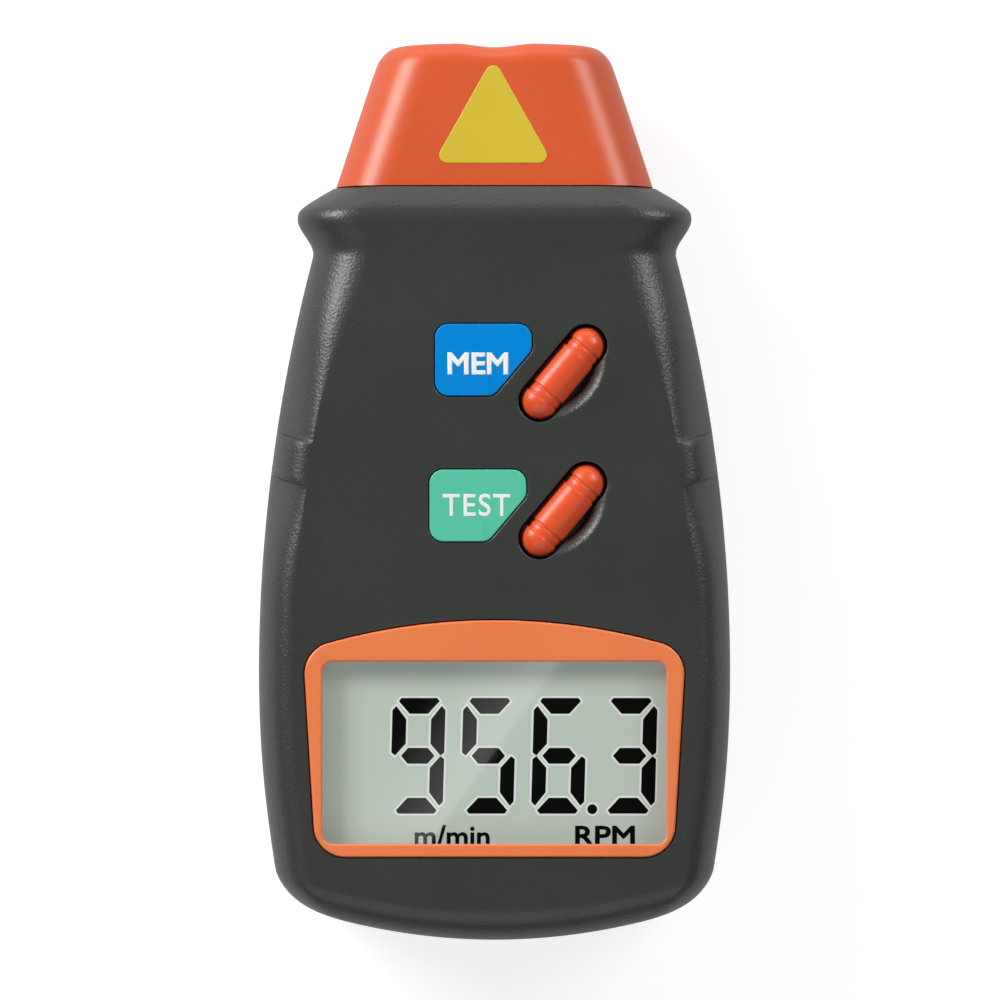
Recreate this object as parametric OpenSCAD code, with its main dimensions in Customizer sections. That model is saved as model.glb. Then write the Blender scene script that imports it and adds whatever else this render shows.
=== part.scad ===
// Handheld laser tachometer, lying on its back.
// +Z points out of the display face, +Y towards the orange nose, and the back rests on z = 0.

/* [Body] */
// Length of the grey body, from its bottom end to the seat of the nose
body_l = 109.7; // [107:0.1:114]
// Greatest width of the body
body_w = 69; // [68:0.5:73]
// Distance of the widest place from the bottom end
wide_d = 39; // [35:1:43]
// Width that the flanks would reach at the bottom end without its round corners
foot_w = 60.5; // [59:0.5:64]
// How far the bottom end bows out between its corners
foot_bow = 5.2; // [4:0.1:6.5]
// Length over which that bow dies out
bow_l = 30; // [25:1:40]
// Round of the bottom corners across the width
foot_corner = 5; // [4:0.5:7]
// Round of the bottom end along the length
foot_round = 5; // [4:0.5:6]
// Drop of the front face to the bottom end, in depth
foot_drop = 6; // [4:0.5:7]
// Rise of the back face to the bottom end, in depth
foot_lift = 4; // [3:0.5:5]
// Round of the front edges across the width
edge_x = 5.5; // [4.5:0.1:6]
// Round of the front edges in depth
edge_z = 9; // [7:0.1:10]
// Round of the back edges across the width
back_edge_x = 4; // [3:0.1:5]
// Round of the back edges in depth
back_edge_z = 5; // [4:0.1:7]
// Wall of the shells
wall = 2; // [1.6:0.1:2.2]
// Height at which the two shells part
part_z = 14; // [13:0.1:15]

/* [Neck] */
// Width that the flanks reach at the waist
waist_w = 52.8; // [52:0.1:55]
// Distance of the waist below the seat of the nose
waist_back = 9.3; // [8.5:0.1:10]
// Dip of the front face at the waist
waist_dip = 1.5; // [0.5:0.1:1.8]
// Rise of the back face at the waist
waist_lift = 1.2; // [0.5:0.1:1.8]
// Length over which the faces run to the waist
dip_l = 12; // [8:0.5:14]
// Width of the collar bead
collar_w = 57.5; // [56:0.1:60]
// Distance of the collar's crest below the seat of the nose
crest_back = 3.9; // [3.4:0.1:4.5]
// Softness of the crest: the shoulder is straight at 0 and round at 1
crest_soft = 0.3; // [0.1:0.05:1]
// Round of the front edges across the width, at the collar
collar_edge_x = 8.5; // [6:0.1:9]
// Length over which the bead rises from the waist
bead_l = 6.3; // [5:0.1:7]
// Width of the seat that carries the nose
seat_w = 47.5; // [47:0.1:50]
// Drop from the collar's crest to the front edge of the seat
seat_drop = 3.2; // [2.5:0.1:3.6]
// Rise from the back face to the back edge of the seat
seat_lift = 3; // [2.4:0.1:3.2]

/* [Grips] */
// Distance of the finger rest's middle from the bottom end
rest_d = 71.3; // [68:0.1:75]
// Width of the finger rest between the two hollows of a flank
rest_w = 6.7; // [4:0.1:8]
// Space between the hollow above the rest and the collar bead
upper_grip_gap = 2.85; // [2:0.05:6]
// Length of the hollow below the rest
lower_grip_l = 18; // [14:0.5:22]
// Roundness of a hollow: 2 is the plain round edge, 1 is a straight chamfer
grip_shape = 1.35; // [1.3:0.05:1.8]
// How far a hollow's lip runs down across the front edge
grip_slant = 2.2; // [0:0.1:3]
// Run of the step at each lip of the rest
lip_run = 0.5; // [0.4:0.1:0.8]

/* [Nose] */
// Length of the nose
nose_l = 21.3; // [20:0.1:24]
// Width of the nose at its base
nose_base_w = 46.6; // [45.5:0.1:46.8]
// Width of the nose at its tip
nose_tip_w = 32.8; // [31:0.1:36]
// Depth of the nose at its base
nose_base_h = 20.8; // [20:0.1:21.4]
// Depth of the nose at its tip
nose_tip_h = 16.4; // [16:0.1:18]
// Round of the nose's long edges
nose_edge = 8; // [6:0.1:9]
// Round of the tip along the length
nose_tip_round = 3; // [2:0.1:3.5]
// Round of the tip across the width
nose_tip_corner = 2.2; // [2:0.1:3.5]
// Round of the tip in depth
nose_tip_drop = 3.4; // [2.5:0.1:3.8]
// Wall of the nose
nose_wall = 2; // [1.6:0.1:2.2]
// Fall of the tip from its middle to its corners
nose_bow = 0.2; // [0:0.1:0.8]
// Depth of the saddle in the middle of the tip
saddle_depth = 0.9; // [0:0.1:1]
// Radius of the saddle
saddle_r = 26; // [18:1:40]
// Width of the spigot that enters the body
spigot_w = 39; // [37:0.5:40]
// Depth of the spigot that enters the body
spigot_h = 14.4; // [13.6:0.1:15]
// Corner radius of the spigot
spigot_r = 3; // [2:0.1:4]
// Wall of the spigot
spigot_wall = 1.6; // [1.2:0.1:2]
// Length of the spigot behind the end wall
spigot_l = 3; // [2.5:0.1:4]
// How far the flange stands out round the end of the spigot
flange_out = 1.6; // [1:0.1:2]
// Thickness of that flange
flange_t = 1.4; // [1:0.1:1.8]

/* [Display] */
// Distance of the window's middle from the bottom end
window_d = 27.5; // [26.5:0.1:29]
// Height of the window opening
window_h = 26.4; // [25:0.1:27]
// Corner radius of the window opening
window_r = 1.5; // [0.5:0.1:3]
// Thickness of the clear window
window_t = 1.2; // [0.8:0.1:1.4]
// How far the window is caught behind the bezel
window_catch = 0.6; // [0.4:0.1:0.8]
// Width of the bezel beside the window, at its shoulders
bezel_side = 3.1; // [2.4:0.1:3.5]
// Width of the bezel beside the window, at its foot
bezel_foot_side = 1.4; // [1.2:0.1:2.6]
// Height of the bezel's shoulders above the window
bezel_over = 2.7; // [2.1:0.1:3.8]
// Rise of the bezel's arch above its shoulders
bezel_arch = 3.3; // [2:0.1:4]
// Reach of the bezel below the window
bezel_under = 2; // [1.8:0.1:2.6]
// Corner radius of the bezel
bezel_r = 4; // [2:0.1:5]
// Thickness of the bezel
bezel_t = 2; // [1.8:0.1:2.3]
// Thickness of the ledge that carries the bezel
ledge_t = 0.9; // [0.7:0.1:1.2]
// Overlap of the ledge beyond the window opening
ledge_in = 0.2; // [0.1:0.05:0.3]
// Height of the bezel above the face
bezel_proud = 0.3; // [0:0.05:0.6]
// Distance of the liquid crystal panel from the body's flanks
lcd_side = 8; // [7.6:0.1:9]
// Overlap of the panel beyond the window at its sides
lcd_over_x = 1.6; // [1.2:0.1:2]
// Overlap of the panel beyond the window at top and bottom
lcd_over_y = 1.8; // [1.2:0.1:2.2]
// Thickness of the liquid crystal panel
lcd_t = 2.2; // [2:0.1:2.8]
// Space between the panel and the bezel
lcd_gap = 0.2; // [0.1:0.05:0.6]
// Width of the wall of the frame round the panel
lcd_frame_wall = 1.2; // [0.8:0.1:1.4]
// Height of the contact strips between board and panel
strip_h = 2; // [1.8:0.1:3]
// Width of each contact strip
strip_w = 2.2; // [1.6:0.1:2.6]

/* [Keys] */
// Length of a key
key_l = 16; // [14:0.1:17]
// Diameter of a key
key_d = 5.6; // [5:0.1:6]
// Turn of the keys from across the body
key_turn = 50; // [40:1:60]
// Distance of the keys from the middle line
key_x = 9.9; // [8.5:0.1:12]
// Distance of the memory key from the bottom end
memory_d = 82.5; // [80:0.1:85]
// Distance of the test key from the bottom end
test_d = 62.6; // [60:0.1:64]
// Travel of a key
key_travel = 0.5; // [0.2:0.05:0.6]
// Height of a key above the face
key_proud = 0.8; // [0.4:0.1:1.5]
// Space between a key and the wall of its pocket
key_gap = 0.3; // [0.2:0.05:0.5]
// Depth of the key pockets
pocket_depth = 3; // [2.8:0.1:3.2]
// Floor of the key pockets
pocket_floor = 1.2; // [1:0.1:1.4]
// Reach of the dished side of a pocket from the key's axis
dish_reach = 5.3; // [4.6:0.1:6]
// Radius of the dished side at the face
dish_r = 9.15; // [8.9:0.05:10.5]
// Narrowing of the dished side from the face to the floor
dish_slope = 2; // [1.4:0.1:2.1]
// Width of the fine grooves round a key
groove_w = 0.5; // [0.3:0.1:0.6]
// Depth of those grooves
groove_depth = 0.25; // [0.1:0.05:0.4]
// Distance of the outer groove from the end of a key
groove_in = 3.2; // [2.8:0.1:4]
// Distance between the two grooves of a pair
groove_pitch = 1.2; // [1:0.1:1.6]
// Width of the stem that passes through the pocket's floor
stem_w = 3.6; // [3:0.1:4]
// Length of that stem
stem_l = 10; // [8:0.1:11]
// How far the key's flange stands out from the stem
key_flange_out = 1; // [0.6:0.1:1.2]
// Thickness of the key's flange
key_flange_t = 0.7; // [0.6:0.05:0.8]

/* [Plates] */
// Width of a legend plate
plate_w = 14; // [12:0.1:14.4]
// Height of a legend plate
plate_h = 10.4; // [8:0.1:11]
// Corner radius of a legend plate
plate_r = 2; // [1:0.1:3]
// Length that the slanted corner takes from the plate's side
plate_cut = 6.6; // [4:0.1:7.5]
// Distance of the memory plate's side from the middle line
memory_plate_x = 5.4; // [4:0.1:5.6]
// Height of the memory plate's middle above the key's middle
memory_plate_up = 1.9; // [1.5:0.1:3]
// Distance of the test plate's side from the middle line
test_plate_x = 4.6; // [4:0.1:5]
// Height of the test plate's middle above the key's middle
test_plate_up = 0.7; // [0.5:0.1:2]
// Thickness of a legend plate
plate_t = 0.6; // [0.4:0.1:1]
// Height of a legend plate above the face
plate_proud = 0.1; // [0:0.05:0.3]

/* [Battery] */
// Length of the battery without its terminals
battery_l = 46.4; // [45:0.1:47]
// Width of the battery
battery_w = 26; // [25:0.1:26.5]
// Thickness of the battery
battery_h = 17; // [16:0.1:17.5]
// Height of the battery's terminals
terminal_h = 2.6; // [2:0.1:3]
// Distance between the terminals
terminal_pitch = 12.7; // [12:0.1:13.2]
// Diameter of the plain terminal
terminal_d = 5.7; // [5:0.1:6]
// Diameter of the crown terminal
crown_d = 7.9; // [7.4:0.1:8.4]
// Thickness of the snap connector
snap_t = 4; // [3.4:0.1:4.6]
// Space between the battery and its bay
battery_gap = 0.4; // [0.3:0.1:0.6]
// Space between the battery and the bottom wall
battery_end_gap = 0.5; // [0.3:0.1:1]
// Wall of the battery bay
bay_wall = 1.2; // [1:0.1:1.4]
// Distance of the bay walls' top below the battery's top
bay_low = 3.4; // [2:0.1:6]
// Distance of the foam pad from the battery's ends
pad_in = 5; // [2:0.5:10]
// Thickness of the foam pad above the battery
pad_t = 0.3; // [0.2:0.1:1]

/* [Battery door] */
// Width of the battery door
door_w = 31; // [30:0.1:32]
// Room in the bay past the snap connector
bay_room = 3; // [2:0.1:5]
// Height of the door's end wall
door_end_h = 7; // [6:0.1:9]
// How far the door lies below the back face
door_sunk = 0.3; // [0.2:0.05:0.4]
// Space round the door
door_gap = 0.2; // [0.15:0.05:0.3]
// Reach of the door's tongues into their grooves
tongue_out = 0.7; // [0.5:0.1:0.9]
// Thickness of the tongues
tongue_t = 0.5; // [0.4:0.05:0.6]
// Height of the tongues above the back face
tongue_z = 0.9; // [0.8:0.05:1]
// Distance of the tongues' upper end from the door's upper edge
tongue_in = 2; // [1.5:0.1:4]
// Distance of the first finger groove from the door's upper edge
finger_in = 6; // [4:0.5:10]
// Number of finger grooves in the door
finger_count = 6; // [3:1:8]
// Distance between the finger grooves
finger_pitch = 1.8; // [1.5:0.1:2.4]
// Length of a finger groove
finger_l = 14; // [8:0.5:20]
// Depth of a finger groove
finger_depth = 0.4; // [0.2:0.05:0.5]

/* [Board] */
// Thickness of the main board
board_t = 1.6; // [1.2:0.1:1.6]
// Distance of the main board from the body's flanks
board_side = 6.5; // [6.1:0.1:7]
// Distance of the main board's upper end from the waist's flanks
board_top_side = 3.4; // [2.4:0.1:3.8]
// Space between the main board and the lower screw bosses
board_gap = 0.6; // [0.4:0.1:1]
// Distance of the main board's upper edge from the bottom end
board_high_d = 92; // [88:0.5:93]
// Width of a tactile switch
switch_w = 6; // [5:0.1:6.4]
// Height of a tactile switch's body
switch_h = 1.3; // [1:0.1:1.4]
// Diameter of a switch's stem
switch_stem_d = 2.6; // [2:0.1:3]
// Distance of the controller chip from the middle line
chip_x = 13; // [11:0.5:14]
// Distance of the controller chip from the bottom end
chip_d = 70; // [66:0.5:74]
// Side of the controller chip
chip_w = 12; // [9:0.5:14]
// Thickness of the controller chip
chip_t = 1.6; // [1.2:0.1:2]

/* [Optics] */
// Distance of the receiver from the middle line
receiver_x = 6.6; // [6.2:0.1:7]
// Diameter of the receiver's lens
receiver_lens_d = 10; // [9:0.1:10.4]
// Outer diameter of the receiver's tube
receiver_tube_d = 12; // [11.6:0.1:12.4]
// Length of the receiver's tube
receiver_tube_l = 13.6; // [12:0.1:13.8]
// Distance of the laser from the middle line
laser_x = 7.4; // [7:0.1:8]
// Diameter of the clear window in front of the laser
laser_window_d = 5; // [4:0.1:5.6]
// Outer diameter of the laser's barrel
laser_barrel_d = 9; // [8:0.1:9.6]
// Length of the laser's barrel
laser_barrel_l = 17; // [14:0.5:18]
// Wall of the laser's barrel
laser_wall = 1.2; // [1:0.1:1.5]
// Diameter of the laser diode's flange
diode_d = 5.6; // [5:0.1:5.8]
// Thickness of the holder for both barrels
holder_t = 6; // [4:0.1:7]
// Space between the barrels and the nose's tip wall
barrel_gap = 0.3; // [0.2:0.1:0.5]
// Thickness of the small boards
small_board_t = 1.2; // [1:0.1:1.6]
// Height and width of the receiver board
receiver_board_w = 12; // [11:0.1:13]

/* [Fasteners] */
// Distance of the lower case screws from the bottom corners' flanks
low_screw_side = 7.75; // [7.2:0.05:8.8]
// Space between the lower screw bosses and the panel's frame
low_screw_gap = 0.35; // [0.2:0.05:0.5]
// Distance of the upper case screws from the waist's flanks
high_screw_side = 6.8; // [6:0.1:8.4]
// Distance of the upper case screws below the waist
high_screw_back = 3.2; // [2.4:0.1:3.8]
// Diameter of the case screws' shanks
screw_d = 2.6; // [2:0.1:3]
// Diameter of the case screws' heads
screw_head_d = 4.6; // [4:0.1:4.8]
// Height of the case screws' heads
screw_head_h = 1.8; // [1.4:0.1:2.4]
// Depth of the recess above the case screws' heads
screw_recess = 3; // [2:0.1:5]
// Length of a case screw under its head
screw_l = 15; // [12:0.5:18]
// Diameter of the bosses that take the case screws
boss_d = 6.4; // [6:0.1:6.8]
// Diameter of the board screws' shanks
board_screw_d = 2; // [1.6:0.1:2.2]
// Diameter of the board screws' heads
board_screw_head_d = 3.8; // [3.2:0.1:4]
// Height of the board screws' heads
board_screw_head_h = 1.4; // [1:0.1:1.6]
// Length of a board screw under its head
board_screw_l = 5; // [4:0.5:6]
// Length of the driver's cross, as a share of a screw's head
cross_l = 0.6; // [0.5:0.05:0.7]
// Width of the driver's cross, as a share of a screw's head
cross_w = 0.16; // [0.12:0.02:0.2]
// Diameter of the posts that carry the board
post_d = 4.6; // [4:0.1:5]
// Distance of the lower posts from the body's flanks
low_post_side = 9.5; // [9:0.1:10.5]
// Space between the lower posts and the panel's frame
low_post_gap = 1.65; // [1:0.05:2.8]
// Distance of the upper posts from the waist's flanks
high_post_side = 6; // [5.8:0.1:6.4]
// Distance of the upper posts below the board's upper edge
high_post_back = 3; // [2.6:0.1:4]

/* [Clearances] */
// Space round pieces that drop into a recess
fit = 0.15; // [0.1:0.05:0.2]
// Dark seam between the nose and its seat
seam = 0.2; // [0.1:0.05:0.3]
// Space between stacked inner pieces
stack_gap = 0.3; // [0.2:0.05:0.4]

/* [Hidden] */
$fn = 48;

// Length: distances marked d are measured from the bottom end
total_l = body_l + nose_l;
end_y = -total_l / 2;
waist_d = body_l - waist_back;
crest_d = body_l - crest_back;
bead_d = crest_d - bead_l;
rest_low = rest_d - rest_w / 2;
rest_high = rest_d + rest_w / 2;
upper_grip_l = bead_d - upper_grip_gap - rest_high;
grip_low = rest_low - lower_grip_l;
grip_high = rest_high + upper_grip_l;

// Height: the stack from the door to the face
battery_z = wall + door_gap;
board_z = battery_z + battery_h + pad_t;
board_top = board_z + board_t;
lcd_z = board_top + strip_h;
lcd_top = lcd_z + lcd_t;
ledge_z = lcd_top + lcd_gap;
bezel_z = ledge_z + ledge_t;
bezel_top_z = bezel_z + bezel_t;
face_z = bezel_top_z - bezel_proud;

// Display
lcd_w = body_w - 2 * lcd_side;
window_w = lcd_w - 2 * lcd_over_x;
lcd_h = window_h + 2 * lcd_over_y;
lcd_frame_w = lcd_w + 2 * (fit + lcd_frame_wall);
lcd_frame_h = lcd_h + 2 * (fit + lcd_frame_wall);
bezel_shoulder_x = window_w / 2 + bezel_side;
bezel_foot_x = window_w / 2 + bezel_foot_side;
bezel_shoulder = window_h / 2 + bezel_over;
bezel_top = bezel_shoulder + bezel_arch;
bezel_foot = window_h / 2 + bezel_under;

// Keys
pocket_z = face_z - pocket_depth;
pocket_under = pocket_z - pocket_floor;
key_rest_gap = 0.2;
key_flange_z = pocket_under - key_rest_gap - key_flange_t;
key_axis_z = face_z + key_proud - key_d / 2;
key_foot_z = pocket_z + key_travel + key_gap;
switch_floor = 0.3;

// Board and fasteners
low_screw_x = foot_w / 2 - low_screw_side;
low_screw_d = window_d - lcd_frame_h / 2 - low_screw_gap - boss_d / 2;
high_screw_x = waist_w / 2 - high_screw_side;
high_screw_d = waist_d - high_screw_back;
low_post_x = body_w / 2 - low_post_side;
low_post_d = window_d + lcd_frame_h / 2 + low_post_gap + post_d / 2;
high_post_x = waist_w / 2 - high_post_side;
high_post_d = board_high_d - high_post_back;
board_x = body_w / 2 - board_side;
board_top_x = waist_w / 2 - board_top_side;
board_low_d = low_screw_d + boss_d / 2 + board_gap;

// Battery bay
battery_d = foot_round + foot_bow * pow(battery_w / foot_w, 2) + battery_end_gap;
battery_end_d = battery_d + battery_l;
snap_gap = 0.2;
bay_d = battery_end_d + snap_gap + snap_t + bay_room;

// Nose
nose_d = body_l + seam;
tip_in_d = total_l - nose_wall;
barrel_d = tip_in_d - barrel_gap;
tube_d = tip_in_d - nose_tip_round + nose_wall / 2;
holder_back = 4;
holder_d = nose_d + holder_back;

function along(d) = end_y + d;
function mix(a, b, t) = a + (b - a) * t;
// Smooth rise from 0 to 1
function rise(t) = (1 - cos(180 * min(1, max(0, t)))) / 2;
// Share of a quarter round that is lost at a distance from an end
function lost(d, r) = d >= r ? 0 : 1 - sqrt(max(0, 1 - pow(1 - d / r, 2)));

// Half width of the flank without the collar bead
function flank(d) = body_w / 2 - (d > wide_d
    ? (body_w - waist_w) / 2 * pow((d - wide_d) / (waist_d - wide_d), 2)
    : (body_w - foot_w) / 2 * pow((wide_d - d) / wide_d, 2));
function bead(d) = rise((d - bead_d) / bead_l);
// Fall from the crest to the seat: a hyperbola, round at the crest and then straight
function swing(t) = sqrt(t * t + crest_soft * crest_soft) - crest_soft;
function shed(d) = swing(max(0, d - crest_d) / crest_back) / swing(1);
function side_x(d) = flank(min(d, crest_d)) + (collar_w / 2 - flank(crest_d)) * bead(d)
    - (collar_w - seat_w) / 2 * shed(d);
// Share of the way from the faces to the waist, which the bead takes back
function dip(d) = rise((d - bead_d + dip_l) / dip_l) - bead(d);
function front_z(d) = face_z - waist_dip * dip(d) - seat_drop * shed(d);
function back_z(d) = waist_lift * dip(d) + seat_lift * shed(d);

// Roundness of the front edge: it flattens in the hollows above and below the finger rest
function hollow(t) = 2 - (2 - grip_shape) * (1 - rise(t));
function edge_shape(d) =
    d >= rest_high ? hollow((d - rest_high) / upper_grip_l) :
    d <= rest_low ? hollow((rest_low - d) / lower_grip_l) : 2;
function slant(d) = grip_slant * rise((d - grip_low) / lower_grip_l) * rise((grip_high - d) / upper_grip_l);
// Quarter round as [loss across, loss in depth, share of the way to the face]
function quarter(ax, az, shape, steps) = [
    for (i = [0:steps]) let (a = 90 * i / steps)
        [ax * (1 - pow(cos(a), 2 / shape)), az * (1 - pow(sin(a), 2 / shape)), i / steps]
];
// Half section from one side to the other, as [x, z, share]
function arch(w, z, ax, az, shape, steps, across) = let (q = quarter(ax, az, shape, steps)) concat(
    [for (c = q) [w - c[0], z - c[1], c[2]]],
    [for (i = [1:across - 1]) [mix(w - ax, ax - w, i / across), z, 1]],
    [for (i = [steps:-1:0]) [q[i][0] - w, z - q[i][1], q[i][2]]]
);
function turned(list) = [for (i = [len(list) - 1:-1:0]) list[i]];

// A closed skin over rings, each an upper chain followed by the lower chain turned round
module skin(rings) {
    n = len(rings[0]);
    half = n / 2;
    last = (len(rings) - 1) * n;
    sides = [
        for (i = [0:len(rings) - 2], j = [0:n - 1])
            let (a = i * n + j, b = i * n + (j + 1) % n)
                each [[a, b, a + n], [b, b + n, a + n]]
    ];
    ends = [
        for (j = [0:half - 2]) let (p = j, q = j + 1, r = n - 2 - j, s = n - 1 - j)
            each [[p, s, q], [q, s, r], [last + p, last + q, last + s], [last + q, last + r, last + s]]
    ];
    polyhedron([for (ring = rings) each ring], concat(sides, ends), convexity = 8);
}

// Places along the body at which a ring is laid, for an inset t of the skin
function foot_stations(t, steps) = [
    for (i = [0:steps]) t + (foot_round - t) * (1 - cos(90 * i / steps))
];
function spread(a, b, n) = [for (i = [1:n]) mix(a, b, i / n)];
outer_stations = concat(
    foot_stations(0, 6), spread(foot_round, grip_low, 6), spread(grip_low, rest_low, 6),
    [rest_low + lip_run, rest_high - lip_run, rest_high], spread(rest_high, grip_high, 7),
    spread(grip_high, bead_d, 2), spread(bead_d, crest_d, 6), spread(crest_d, body_l, 5)
);
inner_end_d = body_l - wall;
inner_stations = concat(
    foot_stations(wall, 4), spread(foot_round, grip_low, 5), spread(grip_low, grip_high, 6),
    spread(grip_high, bead_d, 2), spread(bead_d, crest_d, 4), [inner_end_d]
);

function bow(d) = foot_bow * (1 - rise(d / bow_l));
function bowed_y(d, x) = along(d) + bow(d) * pow(2 * x / foot_w, 2);
function half_width(d, t) = side_x(d + bow(d)) - t - (foot_corner - t) * lost(d - t, foot_round - t);
function roof_z(d, t) = front_z(d) - t - (foot_drop - t) * lost(d - t, foot_round - t);
function floor_z(d, t) = back_z(d) + t + (foot_lift - t) * lost(d - t, foot_round - t);
edge_rest = 1;
// The front edges grow rounder from the finger rest to the collar
function edge_at(d) = mix(edge_x, collar_edge_x, rise((d - rest_high) / (crest_d - rest_high)));

// Front half of the body: its edges are round, with the hollows of the grips where grips is 1
function front_ring(d, t, low, grips, steps) = let (
    top = roof_z(d, t),
    az = min(edge_z - t, top - part_z - edge_rest),
    upper = arch(half_width(d, t), top, edge_at(d) - t, az, grips ? edge_shape(d) : 2, steps, 6)
) concat(
    [for (u = upper) [u[0], bowed_y(d, u[0]) - grips * slant(d) * u[2], u[1]]],
    [for (u = turned(upper)) [u[0], bowed_y(d, u[0]), low]]
);
function rear_ring(d, t, high, steps) = let (
    bottom = floor_z(d, t),
    az = min(back_edge_z - t, part_z - bottom - edge_rest),
    lower = arch(half_width(d, t), -bottom, back_edge_x - t, az, 2, steps, 6)
) concat(
    [for (u = lower) [u[0], bowed_y(d, u[0]), high]],
    [for (u = turned(lower)) [u[0], bowed_y(d, u[0]), -u[1]]]
);

module front_outside() { skin([for (d = outer_stations) front_ring(d, 0, part_z, 1, 7)]); }
module front_inside() { skin([for (d = inner_stations) front_ring(d, wall, part_z - 1, 0, 4)]); }
// Wall of the rear half, as far from the bottom end as a length asks
module rear_wall(length) {
    difference() {
        skin([for (d = outer_stations) if (d <= length) rear_ring(d, 0, part_z, 5)]);
        skin([for (d = inner_stations) if (d <= length) rear_ring(d, wall, part_z + 1, 3)]);
    }
}

// A flat rounded rectangle about the origin
module plate_2d(w, h, r) { offset(r) square([w - 2 * r, h - 2 * r], center = true); }
// A stadium about the origin, long in X
module stadium_2d(l, w) {
    square([l - w, w], center = true);
    for (side = [-1, 1]) translate([side * (l - w) / 2, 0]) circle(d = w);
}
// A cylinder that points along +Y from distance d
module rod(x, d, l, dia) { translate([x, along(d), part_z]) rotate([-90, 0, 0]) cylinder(d = dia, h = l); }
// A slab from distance d along +Y, its outline seen along the length
module slab(d, t) { translate([0, along(d), part_z]) rotate([-90, 0, 0]) linear_extrude(t) children(); }
// A copy on each side of the middle line
module both_sides() {
    children();
    mirror([1, 0, 0]) children();
}

// Keys: children lie along the key's axis, at the height of the board frame
module at_key(d) { translate([key_x, along(d), 0]) rotate(key_turn) children(); }
module pocket_2d(grow) {
    stadium_2d(key_l + 2 * key_gap + 2 * grow, key_d + 2 * key_gap + 2 * grow);
}
// The dished side: the part of a cone that lies on the lower side of the key's axis
module dish(z, h, r1, r2) {
    intersection() {
        translate([0, dish_r - dish_reach, z]) cylinder(h = h, r1 = r1, r2 = r2);
        translate([-dish_r, -2 * dish_r, z]) cube([2 * dish_r, 2 * dish_r, h]);
    }
}
module key_pocket() {
    over = 0.5;
    grow = dish_slope * over / pocket_depth;
    translate([0, 0, pocket_z]) linear_extrude(pocket_depth + over) pocket_2d(0);
    dish(pocket_z, pocket_depth + over, dish_r - dish_slope, dish_r + grow);
}
module pocket_pad() {
    pad_h = face_z - wall / 2 - pocket_under;
    translate([0, 0, pocket_under]) linear_extrude(pad_h) pocket_2d(pocket_floor);
    dish(pocket_under, pad_h, dish_r, dish_r);
}
module stem_2d(grow) { stadium_2d(stem_l + 2 * grow, stem_w + 2 * grow); }

// Display: children lie about the window's middle
module at_window(z) { translate([0, along(window_d), z]) children(); }
bezel_arc_r = (pow(bezel_shoulder_x, 2) + pow(bezel_arch, 2)) / (2 * bezel_arch);
bezel_arc_a = asin(bezel_shoulder_x / bezel_arc_r);
module bezel_2d(grow) {
    offset(bezel_r + grow) offset(delta = -bezel_r) polygon(concat(
        [for (i = [0:16]) let (a = mix(bezel_arc_a, -bezel_arc_a, i / 16))
            [bezel_arc_r * sin(a), bezel_top + bezel_arc_r * (cos(a) - 1)]],
        [[-bezel_foot_x, -bezel_foot], [bezel_foot_x, -bezel_foot]]
    ));
}
module window_2d(grow) { plate_2d(window_w + 2 * grow, window_h + 2 * grow, window_r + grow); }

// Legend plates: the corner that faces the key is cut at a slant
module plate_outline(grow) {
    offset(plate_r + grow) offset(delta = -plate_r) polygon([
        [-plate_w, plate_h / 2], [0, plate_h / 2], [0, plate_cut - plate_h / 2],
        [-plate_cut * tan(90 - key_turn), -plate_h / 2], [-plate_w, -plate_h / 2]
    ]);
}
module at_plate(x, d, z) { translate([x, along(d), z]) children(); }
plate_z = face_z + plate_proud - plate_t;
memory_plate_d = memory_d + memory_plate_up;
test_plate_d = test_d + test_plate_up;

// Fasteners
module at_case_screws() {
    for (side = [-1, 1]) {
        translate([side * low_screw_x, along(low_screw_d), 0]) children();
        translate([side * high_screw_x, along(high_screw_d), 0]) children();
    }
}
module at_posts() {
    for (side = [-1, 1]) {
        translate([side * low_post_x, along(low_post_d), 0]) children();
        translate([side * high_post_x, along(high_post_d), 0]) children();
    }
}
module spigot_2d(grow) { plate_2d(spigot_w + 2 * grow, spigot_h + 2 * grow, spigot_r + grow); }

module front_shell() {
    boss_top = face_z - foot_drop / 2;
    color("#3f4240") difference() {
        union() {
            difference() {
                front_outside();
                front_inside();
            }
            at_case_screws() translate([0, 0, part_z]) cylinder(d = boss_d, h = boss_top - part_z);
            at_posts() translate([0, 0, board_top]) cylinder(d = post_d, h = face_z - wall / 2 - board_top);
            for (d = [memory_d, test_d]) at_key(d) pocket_pad();
            at_window(ledge_z) linear_extrude(face_z - wall / 2 - ledge_z) bezel_2d(wall / 2);
        }
        at_case_screws() translate([0, 0, part_z - 1]) cylinder(d = screw_d + fit, h = boss_top - part_z - 1);
        at_posts() translate([0, 0, board_top - 1]) cylinder(d = board_screw_d + fit, h = board_screw_l);
        for (d = [memory_d, test_d]) at_key(d) {
            key_pocket();
            translate([0, 0, pocket_under - 1]) linear_extrude(pocket_floor + 2) stem_2d(key_gap);
        }
        at_window(bezel_z) linear_extrude(bezel_t) bezel_2d(fit);
        at_window(ledge_z - 1) linear_extrude(ledge_t + 2) window_2d(ledge_in);
        at_plate(memory_plate_x, memory_plate_d, plate_z) linear_extrude(plate_t + 1) plate_outline(fit);
        at_plate(test_plate_x, test_plate_d, plate_z) linear_extrude(plate_t + 1) plate_outline(fit);
        slab(inner_end_d - 1, wall + 2) spigot_2d(fit);
    }
}

// Battery door
rail_x = door_w / 2;
tongue_high_d = bay_d - tongue_in;
tongue_low_d = foot_round + foot_bow;
module door_space(gap) {
    translate([-rail_x + gap, along(-1), -1]) cube([door_w - 2 * gap, bay_d + 1 - gap, door_end_h + 1 - gap]);
}
module rail(low_d, high_d, z, out, t) {
    both_sides() translate([rail_x - 1, along(low_d), z]) cube([1 + out, high_d - low_d, t]);
}

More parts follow.
